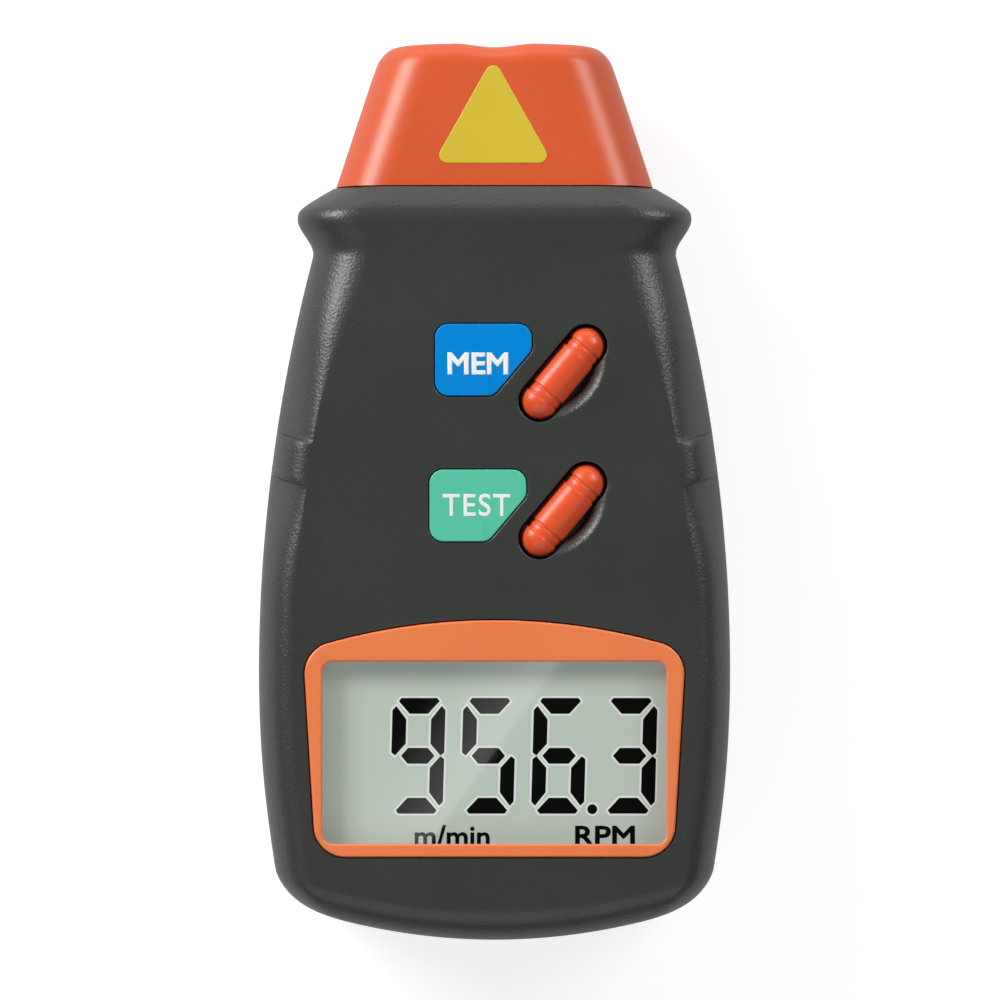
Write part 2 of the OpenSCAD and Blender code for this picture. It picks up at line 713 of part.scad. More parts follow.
module rear_shell() {
    rib_x = rail_x + battery_gap;
    rib_h = battery_h - bay_low;
    rib_d = foot_round + foot_bow / 2;
    color("#3a3d3b") difference() {
        union() {
            rear_wall(total_l);
            at_case_screws() translate([0, 0, wall / 2]) cylinder(d = boss_d, h = part_z - wall / 2);
            both_sides() translate([rib_x, along(rib_d), wall / 2])
                cube([bay_wall, bay_d + bay_wall - rib_d, wall / 2 + rib_h]);
            translate([-rib_x, along(bay_d), wall / 2]) cube([2 * rib_x, bay_wall, wall / 2 + rib_h]);
        }
        at_case_screws() {
            translate([0, 0, -1]) cylinder(d = screw_d + 2 * fit, h = part_z + 2);
            translate([0, 0, -1]) cylinder(d = screw_head_d + 2 * fit, h = 1 + screw_recess + screw_head_h);
        }
        door_space(0);
        rail(-1, bay_d - tongue_in / 2, tongue_z - door_gap, tongue_out + door_gap, tongue_t + 2 * door_gap);
        slab(inner_end_d - 1, wall + 2) spigot_2d(fit);
    }
}

module battery_door() {
    finger_d = bay_d - finger_in;
    color("#3a3d3b") difference() {
        union() {
            intersection() {
                rear_wall(waist_d);
                door_space(door_gap);
            }
            rail(tongue_low_d, tongue_high_d, tongue_z, tongue_out, tongue_t);
        }
        translate([-body_w, along(-1), -1]) cube([2 * body_w, body_l, 1 + door_sunk]);
        for (i = [0:finger_count - 1])
            translate([-finger_l / 2, along(finger_d - i * finger_pitch), door_sunk - finger_depth])
                rotate([0, 90, 0]) cylinder(r = 2 * finger_depth, h = finger_l);
    }
}

// Nose: half width and half depth along its length
function nose_t(d) = (d - body_l) / nose_l;
function nose_x(d) = mix(nose_base_w, nose_tip_w, nose_t(d)) / 2;
function nose_h(d) = mix(nose_base_h, nose_tip_h, nose_t(d)) / 2;
function nose_ring(d, t, steps) = let (
    gone = lost(total_l - t - d, nose_tip_round - t / 2),
    w = nose_x(d) - t - (nose_tip_corner - t / 2) * gone,
    h = nose_h(d) - t - (nose_tip_drop - t / 2) * gone,
    r = min(nose_edge - t / 2, h - 0.5),
    upper = arch(w, h, r, r, 2, steps, 6),
    bow = nose_bow * (1 - rise((total_l - d) / nose_tip_round / 2))
) concat(
    [for (u = upper) [u[0], along(d) - bow * pow(u[0] / w, 2), part_z + u[1]]],
    [for (u = turned(upper)) [u[0], along(d) - bow * pow(u[0] / w, 2), part_z - u[1]]]
);
function nose_stations(low, t, steps) = concat(
    [low], spread(low, total_l - nose_tip_round - t / 2, 4),
    [for (i = [1:steps]) total_l - t - (nose_tip_round - t / 2) * (1 - sin(90 * i / steps))]
);

module nose_cap() {
    spigot_d = inner_end_d - spigot_l;
    reach = nose_d - spigot_d;
    color("#e0663f") difference() {
        union() {
            difference() {
                skin([for (d = nose_stations(nose_d, 0, 6)) nose_ring(d, 0, 6)]);
                skin([for (d = nose_stations(nose_d + nose_wall, nose_wall, 3)) nose_ring(d, nose_wall, 4)]);
            }
            slab(spigot_d, reach + nose_wall / 2) spigot_2d(0);
            slab(inner_end_d - fit - flange_t, flange_t) spigot_2d(flange_out);
        }
        slab(spigot_d - 1, reach + nose_wall + 2) spigot_2d(-spigot_wall);
        rod(-receiver_x, tip_in_d - 1, nose_wall + 2, receiver_lens_d + fit);
        rod(laser_x, tip_in_d - 1, nose_wall + 2, laser_window_d + fit);
        translate([0, along(total_l - saddle_depth) + saddle_r, 0])
            cylinder(r = saddle_r, h = 2 * part_z, $fn = 96);
    }
}

module display_bezel() {
    color("#f07a45") at_window(0) difference() {
        translate([0, 0, bezel_z]) linear_extrude(bezel_t) bezel_2d(0);
        translate([0, 0, bezel_z - 1]) linear_extrude(bezel_t + 2) window_2d(0);
        translate([0, 0, bezel_z - 1]) linear_extrude(1 + window_t + fit) window_2d(window_catch + fit);
    }
}
module display_window() {
    color("#dfe8e4", 0.4) at_window(bezel_z) linear_extrude(window_t) window_2d(window_catch);
}
module lcd_panel() {
    color("#b8c3b9") at_window(lcd_z) linear_extrude(lcd_t) square([lcd_w, lcd_h], center = true);
}
module lcd_frame() {
    frame_h = strip_h + lcd_t - stack_gap;
    color("#e8e8e4") at_window(board_top) linear_extrude(frame_h) difference() {
        square([lcd_frame_w, lcd_frame_h], center = true);
        square([lcd_w, lcd_h] + 2 * fit * [1, 1], center = true);
    }
}
module contact_strips() {
    for (side = [-1, 1])
        color("#d9c6a0") at_window(board_top) translate([0, side * (lcd_h - strip_w) / 2, strip_h / 2])
            cube([lcd_w, strip_w, strip_h], center = true);
}

// A key: a capsule with ringed ends above a stem with a flange
module key(d) {
    barrel = key_l - key_d;
    color("#e95c37") at_key(d) {
        difference() {
            translate([0, 0, key_axis_z]) rotate([0, 90, 0]) difference() {
                union() {
                    cylinder(d = key_d, h = barrel, center = true);
                    for (side = [-1, 1]) translate([0, 0, side * barrel / 2]) sphere(d = key_d);
                }
                for (side = [-1, 1], i = [0, 1])
                    translate([0, 0, side * (key_l / 2 - groove_in - i * groove_pitch)]) difference() {
                        cylinder(d = key_d + 1, h = groove_w, center = true);
                        cylinder(d = key_d - 2 * groove_depth, h = 2 * groove_w, center = true);
                    }
            }
            translate([-key_l, -key_l, key_foot_z - key_l]) cube([2 * key_l, 2 * key_l, key_l]);
        }
        translate([0, 0, key_flange_z]) linear_extrude(key_foot_z + key_gap - key_flange_z) stem_2d(0);
        translate([0, 0, key_flange_z]) linear_extrude(key_flange_t) stem_2d(key_flange_out);
    }
}
module memory_key() { key(memory_d); }
module test_key() { key(test_d); }

module memory_plate() {
    color("#0a8adb") at_plate(memory_plate_x, memory_plate_d, plate_z)
        linear_extrude(plate_t) plate_outline(0);
}
module test_plate() {
    color("#5bcbab") at_plate(test_plate_x, test_plate_d, plate_z)
        linear_extrude(plate_t) plate_outline(0);
}

// A tactile switch on the board, with a well for its stem
module switch(d) {
    color("#2b2b2b") at_key(d) difference() {
        translate([-switch_w / 2, -switch_w / 2, board_top]) cube([switch_w, switch_w, switch_h]);
        translate([0, 0, board_top + switch_floor]) cylinder(d = switch_stem_d + 2 * fit, h = switch_h);
    }
}
module switch_stem(d) {
    stem_z = board_top + switch_floor + key_travel + fit;
    color("#d8d2c4") at_key(d) translate([0, 0, stem_z])
        cylinder(d = switch_stem_d, h = key_flange_z - stem_z);
}
module memory_switch() { switch(memory_d); }
module test_switch() { switch(test_d); }
module memory_switch_stem() { switch_stem(memory_d); }
module test_switch_stem() { switch_stem(test_d); }

// Main board and what is soldered to it
module main_board() {
    taper_d = window_d + bezel_top;
    color("#2f7a4a") translate([0, 0, board_z]) linear_extrude(board_t) difference() {
        polygon([
            [-board_x, along(board_low_d)], [board_x, along(board_low_d)], [board_x, along(taper_d)],
            [board_top_x, along(board_high_d)], [-board_top_x, along(board_high_d)], [-board_x, along(taper_d)]
        ]);
        at_posts() circle(d = board_screw_d + 2 * fit);
    }
}
module controller_chip() {
    leg_w = 0.4;
    leg_out = 1;
    leg_pitch = 0.8;
    legs = floor((chip_w - 1) / leg_pitch);
    color("#202020") translate([-chip_x, along(chip_d), board_top]) {
        translate([-chip_w / 2, -chip_w / 2, fit]) cube([chip_w, chip_w, chip_t]);
        for (turn = [0, 90, 180, 270], i = [0:legs - 1]) rotate(turn)
            translate([(i - (legs - 1) / 2) * leg_pitch - leg_w / 2, chip_w / 2 - leg_w, 0])
                cube([leg_w, leg_out + leg_w, fit + leg_w]);
    }
}
module crystal_can() {
    can_l = 10.5;
    can_w = 4;
    can_h = 3.4;
    can_up = 5;
    color("#c8c8c8") translate([-chip_x, along(chip_d + chip_w / 2 + can_up), board_top])
        linear_extrude(can_h) stadium_2d(can_l, can_w);
}
module capacitors() {
    can_d = 5;
    can_h = 9;
    can_pitch = 7;
    can_up = 2;
    crimp = 0.4;
    for (i = [0:2])
        color("#26324d") translate([i * can_pitch - chip_x, along(chip_d + can_up), board_z - can_h]) {
            cylinder(d = can_d, h = can_h - crimp);
            cylinder(d = can_d - 2 * crimp, h = can_h);
        }
}
module resistors() {
    count = 6;
    size = [1.3, 2, 0.6];
    pitch = 2.6;
    row_pitch = 4;
    row_down = 5;
    first_d = chip_d - chip_w / 2 - row_down;
    color("#1d1d1d") for (i = [0:count - 1], row = [0, 1])
        translate([(i - count / 2) * pitch - chip_x, along(first_d - row * row_pitch), board_top]) cube(size);
}

// Optics in the nose
module optics_holder() {
    half_w = nose_x(holder_d + holder_t) - nose_wall - fit;
    half_h = nose_h(holder_d + holder_t) - nose_wall - fit;
    color("#1c1c1e") difference() {
        slab(holder_d, holder_t) plate_2d(2 * half_w, 2 * half_h, min(nose_edge, half_h) - fit);
        rod(-receiver_x, holder_d - 1, holder_t + 2, receiver_tube_d + fit);
        rod(laser_x, holder_d - 1, holder_t + 2, laser_barrel_d + fit);
    }
}
module laser_barrel() {
    color("#b5974a") difference() {
        rod(laser_x, barrel_d - laser_barrel_l, laser_barrel_l, laser_barrel_d);
        rod(laser_x, barrel_d - laser_barrel_l - 1, laser_barrel_l + 2, laser_barrel_d - 2 * laser_wall);
    }
}
laser_bore_d = laser_barrel_d - 2 * laser_wall;
laser_lens_l = 3;
laser_lens_d = barrel_d - 1;
diode_flange_t = 1.2;
diode_can_d = 4;
diode_can_l = 3.6;
laser_end_d = barrel_d - laser_barrel_l;
module laser_lens() {
    dome_r = laser_bore_d;
    color("#cfe3ea", 0.5) intersection() {
        rod(laser_x, laser_lens_d - laser_lens_l, laser_lens_l, laser_bore_d - fit);
        translate([laser_x, along(laser_lens_d) - dome_r, part_z]) sphere(r = dome_r);
    }
}
module laser_diode() {
    color("#c9a85a") {
        rod(laser_x, laser_end_d, diode_flange_t, diode_d);
        rod(laser_x, laser_end_d + diode_flange_t, diode_can_l, diode_can_d);
    }
}
module laser_board() {
    color("#2f7a4a") rod(laser_x, laser_end_d - small_board_t, small_board_t, laser_barrel_d);
}
module laser_window() {
    color("#e6eef0", 0.5) rod(laser_x, tip_in_d, nose_wall / 2, laser_window_d);
}
module receiver_tube() {
    color("#1c1c1e") difference() {
        rod(-receiver_x, tube_d - receiver_tube_l, receiver_tube_l, receiver_tube_d);
        rod(-receiver_x, tube_d - receiver_tube_l - 1, receiver_tube_l + 2, receiver_lens_d);
    }
}
module receiver_lens() {
    lens_l = 3.4;
    lens_d = tip_in_d + nose_wall / 2;
    dome_r = 8;
    color("#cfe3ea", 0.5) intersection() {
        rod(-receiver_x, lens_d - lens_l, lens_l, receiver_lens_d - fit);
        translate([-receiver_x, along(lens_d) - dome_r, part_z]) sphere(r = dome_r);
    }
}
receiver_end_d = tube_d - receiver_tube_l;
module photodiode() {
    cell_w = 5;
    cell_t = 2;
    color("#4a1d1d") slab(receiver_end_d, cell_t) translate([-receiver_x, 0]) square(cell_w, center = true);
}
module receiver_board() {
    color("#2f7a4a") slab(receiver_end_d - small_board_t, small_board_t)
        translate([-receiver_x, 0]) square(receiver_board_w, center = true);
}

// Battery, its snap connector and foam pad
module terminals(grow) {
    root = 0.5;
    for (side = [-1, 1])
        translate([side * terminal_pitch / 2, along(battery_end_d) - root, battery_z + battery_h / 2])
            rotate([-90, 0, 0])
                cylinder(d = (side > 0 ? terminal_d : crown_d) + 2 * grow, h = root + terminal_h + grow);
}
module battery() {
    corner_r = 2;
    color("#2d2f33") {
        translate([0, along(battery_d), battery_z + battery_h / 2]) rotate([-90, 0, 0])
            linear_extrude(battery_l) plate_2d(battery_w, battery_h, corner_r);
        terminals(0);
    }
}
module battery_snap() {
    rim = 1.5;
    snap_w = terminal_pitch + crown_d + 2 * rim;
    snap_h = crown_d + 2 * rim;
    color("#17181a") difference() {
        translate([-snap_w / 2, along(battery_end_d + snap_gap), battery_z + (battery_h - snap_h) / 2])
            cube([snap_w, snap_t, snap_h]);
        terminals(fit);
    }
}
module battery_pad() {
    color("#3b3b3b") translate([-battery_w / 4, along(battery_d + pad_in), battery_z + battery_h])
        cube([battery_w / 2, battery_l - 2 * pad_in, pad_t]);
}

// Insulated leads: a tube of eight sides swept through points chosen by hand
lead_d = 1.2;
lead_drop = 2.6;
lead_gap = 1.5;
receiver_lead_gap = 2.2;
snap_lead_x = 3;
snap_end_d = battery_end_d + snap_gap + snap_t;
function unit(v) = v / norm(v);
function heading(path, i) = unit(path[min(i + 1, len(path) - 1)] - path[max(i - 1, 0)]);
function tube_ring(path, i) = let (h = heading(path, i), u = unit(cross(h, [1, 0.02, 0])), v = cross(h, u))
    [for (k = [0:7]) path[i] + lead_d / 2 * (cos(45 * k) * u + sin(45 * k) * v)];
module tube(path) {
    last = 8 * (len(path) - 1);
    polyhedron(
        [for (i = [0:len(path) - 1]) each tube_ring(path, i)],
        concat(
            [for (i = [0:len(path) - 2], k = [0:7]) let (a = 8 * i + k, b = 8 * i + (k + 1) % 8)
                each [[a, a + 8, b], [b, a + 8, b + 8]]],
            [[for (k = [0:7]) k], [for (k = [7:-1:0]) last + k]]
        )
    );
}
function snap_lead(x) = let (z = battery_z + battery_h / 2) [
    [x, along(snap_end_d), z], [x, along(snap_end_d + 0.8), z], [x, along(snap_end_d + 1.6), z + 1],
    [x, along(snap_end_d + 1.9), z + 3], [x, along(snap_end_d + 1.9), board_z - 2],
    [x, along(snap_end_d + 1.9), board_z]
];
module red_lead() { color("#b3231c") tube(snap_lead(snap_lead_x)); }
module black_lead() { color("#161616") tube(snap_lead(-snap_lead_x)); }
function nose_lead(x, start_d) = [
    [x, along(start_d), part_z], [x, along(start_d - 2), part_z], [x, along(inner_end_d - 6), part_z + 0.4],
    [x, along(high_screw_d), part_z + 1.5], [x, along(board_high_d), board_z - lead_drop],
    [x, along(board_high_d - lead_drop), board_z - lead_d], [x, along(board_high_d - lead_drop), board_z]
];
module laser_leads() {
    start_d = laser_end_d - small_board_t;
    for (side = [-1, 1]) color("#c23a2c") tube(nose_lead(laser_x + side * lead_gap, start_d));
}
module receiver_leads() {
    start_d = receiver_end_d - small_board_t;
    for (side = [-1, 0, 1])
        color("#e2c33a") tube(nose_lead(side * receiver_lead_gap - receiver_x, start_d));
}

// A screw that points up, with a cross for the driver in its head
module screw(shank_d, shank_l, head_d, head_h) {
    color("#8d8f92") difference() {
        union() {
            cylinder(d = head_d, h = head_h);
            translate([0, 0, head_h]) cylinder(d = shank_d, h = shank_l);
        }
        for (turn = [0, 90]) rotate(turn) cube([head_d * cross_l, head_d * cross_w, head_h], center = true);
    }
}
module case_screws() {
    at_case_screws() translate([0, 0, screw_recess]) screw(screw_d, screw_l, screw_head_d, screw_head_h);
}
module board_screws() {
    at_posts() translate([0, 0, board_z - board_screw_head_h])
        screw(board_screw_d, board_screw_l, board_screw_head_d, board_screw_head_h);
}

front_shell();
rear_shell();
nose_cap();
display_bezel();
display_window();
lcd_panel();
lcd_frame();
contact_strips();
memory_key();
test_key();
memory_plate();
test_plate();
memory_switch();
test_switch();
memory_switch_stem();
test_switch_stem();
main_board();
controller_chip();
crystal_can();
capacitors();
resistors();
optics_holder();
laser_barrel();
laser_lens();
laser_diode();
laser_board();
laser_window();
receiver_tube();
receiver_lens();
photodiode();
receiver_board();
laser_leads();
receiver_leads();
battery();
battery_snap();
battery_pad();
red_lead();
black_lead();
battery_door();
case_screws();
board_screws();
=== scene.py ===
# %% [markdown]
# # A handheld laser tachometer
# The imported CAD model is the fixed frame: every piece here is placed by it and rides on one of its bodies.
# The meter lies on its back, with +Z out of the display face and +Y towards the orange nose.

import bmesh
import bpy
import numpy as np
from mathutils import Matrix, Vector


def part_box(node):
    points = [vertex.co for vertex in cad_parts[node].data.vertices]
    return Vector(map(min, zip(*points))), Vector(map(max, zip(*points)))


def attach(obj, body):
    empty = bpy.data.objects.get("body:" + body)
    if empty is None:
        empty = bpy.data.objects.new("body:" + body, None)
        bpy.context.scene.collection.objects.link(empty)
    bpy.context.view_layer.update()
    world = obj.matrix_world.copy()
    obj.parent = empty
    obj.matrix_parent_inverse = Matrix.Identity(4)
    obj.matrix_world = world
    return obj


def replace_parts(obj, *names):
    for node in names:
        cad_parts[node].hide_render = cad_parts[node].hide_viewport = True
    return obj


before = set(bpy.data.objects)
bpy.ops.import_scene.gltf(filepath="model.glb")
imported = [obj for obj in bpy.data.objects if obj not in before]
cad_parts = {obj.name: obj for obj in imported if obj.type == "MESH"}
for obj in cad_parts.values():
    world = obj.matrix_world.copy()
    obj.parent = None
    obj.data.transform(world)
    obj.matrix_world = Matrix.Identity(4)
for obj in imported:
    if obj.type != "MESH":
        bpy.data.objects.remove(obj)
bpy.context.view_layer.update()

MM = 0.001
part = {name: np.array(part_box(name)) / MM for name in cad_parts}

# %% [markdown]
# ## From arrays to meshes
# A surface is an array of points with rows and columns. Its faces follow from the numbering alone, so one
# helper serves every piece. Closed solids are sewn by merging points that fall together, and their faces are
# then turned outwards, which spares us minding the winding of each patch.

# %% Mesh helpers
SEW = 1e-4
SHARP = 32


def sheet(points, wrap=False):
    """Points on a grid and the quads between them; wrap joins the last column to the first."""
    rows, cols = points.shape[:2]
    number = np.arange(rows * cols).reshape(rows, cols)
    if wrap:
        number = np.hstack([number, number[:, :1]])
    corners = [number[:-1, :-1], number[:-1, 1:], number[1:, 1:], number[1:, :-1]]
    return points.reshape(-1, 3), np.stack(corners, -1).reshape(-1, 4)


def joined(*sheets):
    """Several sheets as one: points are stacked, and corner numbers move up by the points before."""
    starts = np.cumsum([0] + [len(points) for points, faces in sheets])
    faces = [faces + start for (points, faces), start in zip(sheets, starts)]
    return np.vstack([points for points, faces in sheets]), np.vstack(faces)


def mesh_object(name, solid):
    """A mesh object from points in millimetres and quads, with doubles merged and faces outwards."""
    points, faces = solid
    mesh = bpy.data.meshes.new(name)
    mesh.from_pydata(points * MM, [], faces.tolist())
    sewn = bmesh.new()
    sewn.from_mesh(mesh)
    bmesh.ops.remove_doubles(sewn, verts=sewn.verts, dist=SEW * MM)
    bmesh.ops.recalc_face_normals(sewn, faces=sewn.faces)
    sewn.to_mesh(mesh)
    sewn.free()
    piece = bpy.data.objects.new(name, mesh)
    bpy.context.scene.collection.objects.link(piece)
    return piece


def baked(piece):
    """The piece with its modifiers worked into its own mesh."""
    graph = bpy.context.evaluated_depsgraph_get()
    piece.data = bpy.data.meshes.new_from_object(piece.evaluated_get(graph))
    piece.modifiers.clear()
    return piece


def carved(piece, *cutters):
    """The piece with each cutter taken out by a Boolean."""
    tools = [mesh_object("cutter", cutter) for cutter in cutters]
    for tool in tools:
        cut = piece.modifiers.new("cut", "BOOLEAN")
        cut.object = tool
        cut.solver = "MANIFOLD"
    baked(piece)
    for tool in tools:
        bpy.data.objects.remove(tool)
    return piece


def smoothed(piece, angle=SHARP):
    """Smooth shading that breaks at edges sharper than the angle, with flat faces leading the normals."""
    piece.data.shade_smooth()
    piece.data.set_sharp_from_angle(angle=np.radians(angle))
    lead = piece.modifiers.new("flat faces lead", "WEIGHTED_NORMAL")
    lead.keep_sharp = True
    return piece


# %% [markdown]
# ## The moulded body, along its length
# The housing widens from its bottom end to the display, narrows to a waist and swells again into a collar
# under the nose. A subdivided cage could be pulled to that shape by eye. A formula is better here, because
# the same widths then give the outside and the hollow inside, and they follow the CAD solids.

# %% Widths along the body
END_Y = part["front_shell"][0, 1]
BODY_L = part["front_shell"][1, 1] - END_Y
TOTAL_L = -2 * END_Y
FACE_Z = part["front_shell"][1, 2]
PART_Z = part["front_shell"][0, 2]
BODY_W, WIDE_D = 2 * part["front_shell"][1, 0], 39.0
FOOT_W = 60.5
WAIST_W, WAIST_D = 52.8, BODY_L - 9.3
COLLAR_W, CREST_BACK, CREST_SOFT, BEAD_L = 57.5, 3.9, 0.3, 6.3
CREST_D = BODY_L - CREST_BACK
BEAD_D = CREST_D - BEAD_L
SEAT_W = 47.5


def rise(t):
    """Smooth step: half of one minus the cosine over half a turn."""
    return (1 - np.cos(np.pi * np.clip(t, 0, 1))) / 2


def lost(d, r):
    """Share of a quarter round that is missing at distance d from its end."""
    return 1 - np.sqrt(np.clip(1 - np.clip(1 - d / r, 0, 1) ** 2, 0, 1))


def bead(d):
    """Rise of the collar bead from the waist to its crest."""
    return rise((d - BEAD_D) / BEAD_L)


def shed(d):
    """Narrowing from the collar's crest to the seat: a hyperbola, round at the crest and then straight."""
    swing = lambda t: np.hypot(t, CREST_SOFT) - CREST_SOFT
    return swing(np.clip(d - CREST_D, 0, None) / CREST_BACK) / swing(1)


def flank(d):
    """Half width without the collar: a parabola on each side of the widest place."""
    up = (BODY_W - WAIST_W) / 2 * ((d - WIDE_D) / (WAIST_D - WIDE_D)) ** 2
    down = (BODY_W - FOOT_W) / 2 * ((WIDE_D - d) / WIDE_D) ** 2
    return BODY_W / 2 - np.where(d > WIDE_D, up, down)


def side_x(d):
    """Half width with the collar bead added and the seat's narrowing taken off."""
    swell = COLLAR_W / 2 - flank(CREST_D)
    return flank(np.minimum(d, CREST_D)) + swell * bead(d) - (COLLAR_W - SEAT_W) / 2 * shed(d)


print("half widths at the waist and the crest in mm:", np.round(side_x(np.array([WAIST_D, CREST_D])), 2))

# %% [markdown]
# ## The face and its rounded edge
# The face is flat, dips a little at the waist and falls over the collar's crest to the nose's seat. Its edge
# is round, but each flank has two flatter hollows for the fingers, with a rest and two lips between them. A
# superellipse does both: its power says how round the edge is, and a quick step of that power makes a lip.

# %% Face and edge
EDGE_X, COLLAR_EDGE_X, EDGE_Z = 5.5, 9.6, 9.0
WAIST_DIP, DIP_L = 0.6, 12.0
SEAT_DROP = 3.2
BEND_D, BEND_R = BODY_L - 3.4, 1.2
REST_LOW, REST_HIGH, LIP_RUN = 67.95, 74.65, 0.5
UPPER_GRIP_L, LOWER_GRIP_L = 22.0, 18.0
GRIP_SHAPE, GRIP_SLANT = 1.35, 2.2


def shoulder(d):
    """Fall of the face to the seat: a ramp that bends in a hyperbola, for a broad round crest."""
    ramp = lambda t: np.hypot(t, BEND_R) + t
    return SEAT_DROP * ramp(d - BEND_D) / ramp(BODY_L - BEND_D)


def front_z(d):
    """Height of the face: flat, dipping to the waist, back up at the collar and down to the seat."""
    dip = rise((d - BEAD_D + DIP_L) / DIP_L) - bead(d)
    return FACE_Z - WAIST_DIP * dip - shoulder(d)


def edge_at(d):
    """Width of the front edge's round, which grows from the finger rest to the collar."""
    return EDGE_X + (COLLAR_EDGE_X - EDGE_X) * rise((d - REST_HIGH) / (CREST_D - REST_HIGH))


def edge_shape(d):
    """Roundness of the front edge: 2 is round, less is flatter; it steps at the finger rest's two lips."""
    flat = 2 - GRIP_SHAPE
    above = 2 - flat * (1 - rise((d - REST_HIGH) / UPPER_GRIP_L))
    below = 2 - flat * (1 - rise((REST_LOW - d) / LOWER_GRIP_L))
    step = np.minimum(rise((d - REST_LOW) / LIP_RUN), rise((REST_HIGH - d) / LIP_RUN))
    return np.where(d >= REST_HIGH, above, np.where(d <= REST_LOW, below, GRIP_SHAPE + flat * step))


def slant(d):
    """How far the face end of a section is drawn back, so that the lips run aslant across the edge."""
    up = rise((d - REST_LOW + LOWER_GRIP_L) / LOWER_GRIP_L)
    return GRIP_SLANT * up * rise((REST_HIGH + UPPER_GRIP_L - d) / UPPER_GRIP_L)


print("face heights at the display and the seat in mm:", np.round(front_z(np.array([WIDE_D, BODY_L])), 2))

# %% [markdown]
# ## Sections and lofts
# A moulding of this kind is drawn by its designer as sections along a line. Here the sections are the rows of
# one array, so a loft is only a grid of points. The bottom end bows out, which shifts each row by a parabola.

# %% Sections and lofts
FOOT_BOW, BOW_L = 5.2, 30.0
FOOT_CORNER, FOOT_ROUND, FOOT_DROP = 5.0, 5.0, 6.0
STRAIGHT_SIDE = 1.0


def section(steps, across):
    """One half section's two parameters: the turn of its edge, and its side from +1 over the face to -1."""
    edge = np.linspace(0, np.pi / 2, steps + 1)
    face = np.linspace(1, -1, across + 1)[1:-1]
    turn = np.concatenate([edge, np.full(across - 1, np.pi / 2), edge[::-1]])
    side = np.concatenate([np.ones(steps + 1), face, -np.ones(steps + 1)])
    return turn[None, :], side[None, :]


def body_sheet(d, inset, grips, steps, across):
    """Front of the body over distance and section: half widths and heights minus superellipse edges."""
    d = d[:, None]
    turn, side = section(steps, across)
    bow = FOOT_BOW * (1 - rise(d / BOW_L))
    gone = lost(d - inset, FOOT_ROUND - inset)
    width = side_x(d + bow) - inset - (FOOT_CORNER - inset) * gone
    top = front_z(d) - inset - (FOOT_DROP - inset) * gone
    power = 2 / edge_shape(d) if grips else 1.0
    depth = np.minimum(EDGE_Z - inset, top - PART_Z - STRAIGHT_SIDE)
    x = side * (width - (edge_at(d) - inset) * (1 - np.clip(np.cos(turn), 0, 1) ** power))
    z = top - depth * (1 - np.sin(turn) ** power)
    y = END_Y + d + bow * (2 * x / FOOT_W) ** 2
    drawn = slant(d) * turn / (np.pi / 2) if grips else 0
    return np.stack([x, y - drawn, z], -1), np.stack([x, y, np.zeros_like(z)], -1)


def closed_loft(upper, lower):
    """Closed solid between two sheets on one grid: rings join their sides, and strips close both ends."""
    rings = np.concatenate([upper, lower[:, ::-1]], axis=1)
    ends = [sheet(np.stack([upper[end], lower[end]])) for end in (0, -1)]
    return joined(sheet(rings, wrap=True), *ends)


def at_height(points, z):
    """The same points, all laid at one height."""
    return np.concatenate([points[..., :2], np.full(points.shape[:-1] + (1,), z)], axis=-1)


# %% [markdown]
# ## Outlines for cuts and plates
# The display opening, the legend plates and the key pockets are outlines with a depth. A profile carried
# round an outline gives both the piece and the recess that takes it, and a small flare at the top of a recess
# leaves the soft rim that every moulding has.

# %% Outline helpers
RIM = 0.25
OVER = 1.0
LEAST_SPREAD = 0.2


def rounded(corners, radius, steps=10):
    """Outline of a convex polygon, counterclockwise: corners move in by the radius and become arcs."""
    corners = np.asarray(corners, float)
    edges = np.roll(corners, -1, axis=0) - corners
    edges /= np.linalg.norm(edges, axis=1, keepdims=True)
    after = np.stack([edges[:, 1], -edges[:, 0]], axis=1)
    before = np.roll(after, 1, axis=0)
    cosine = np.sum(after * before, axis=1, keepdims=True)
    centre = corners - radius * (after + before) / (1 + cosine)
    start = np.arctan2(before[:, 1], before[:, 0])
    turn = np.arccos(np.clip(cosine[:, 0], -1, 1))
    angle = start[:, None] + turn[:, None] * np.linspace(0, 1, steps + 1)
    arcs = centre[:, None] + radius * np.stack([np.cos(angle), np.sin(angle)], axis=-1)
    return arcs.reshape(-1, 2)


def mitred(outline, out):
    """The outline moved outwards: each point goes along the mitre of its two edges' normals."""
    ahead = np.roll(outline, -1, axis=0) - outline
    ahead /= np.maximum(np.linalg.norm(ahead, axis=1, keepdims=True), 1e-9)
    after = np.stack([ahead[:, 1], -ahead[:, 0]], axis=1)
    before = np.roll(after, 1, axis=0)
    spread = 1 + np.sum(after * before, axis=1, keepdims=True)
    return outline + out * (after + before) / np.maximum(spread, LEAST_SPREAD)


def profiled(outline, profile, place=(0, 0)):
    """Closed solid of a profile round an outline: rows are (out, height), and both ends are closed."""
    rings = [np.column_stack([mitred(outline, out), np.full(len(outline), z)]) for out, z in profile]
    middle = np.append(outline.mean(axis=0), 0)
    caps = [np.tile(middle + [0, 0, z], (len(outline), 1)) for z in (profile[0][1], profile[-1][1])]
    rows = np.stack([caps[0], *rings, caps[1]])
    return sheet(rows + np.append(place, 0), wrap=True)


def top_round(high, edge, steps):
    """Profile rows of a quarter round at a top edge: in by one minus the cosine, and up by the sine."""
    turn = np.linspace(0, np.pi / 2, steps)
    return [(edge * (np.cos(a) - 1), high - edge + edge * np.sin(a)) for a in turn]


def prism(outline, low, high, place=(0, 0), out=0.0):
    """Straight-sided solid over an outline."""
    return profiled(outline, [(out, low), (out, high)], place)


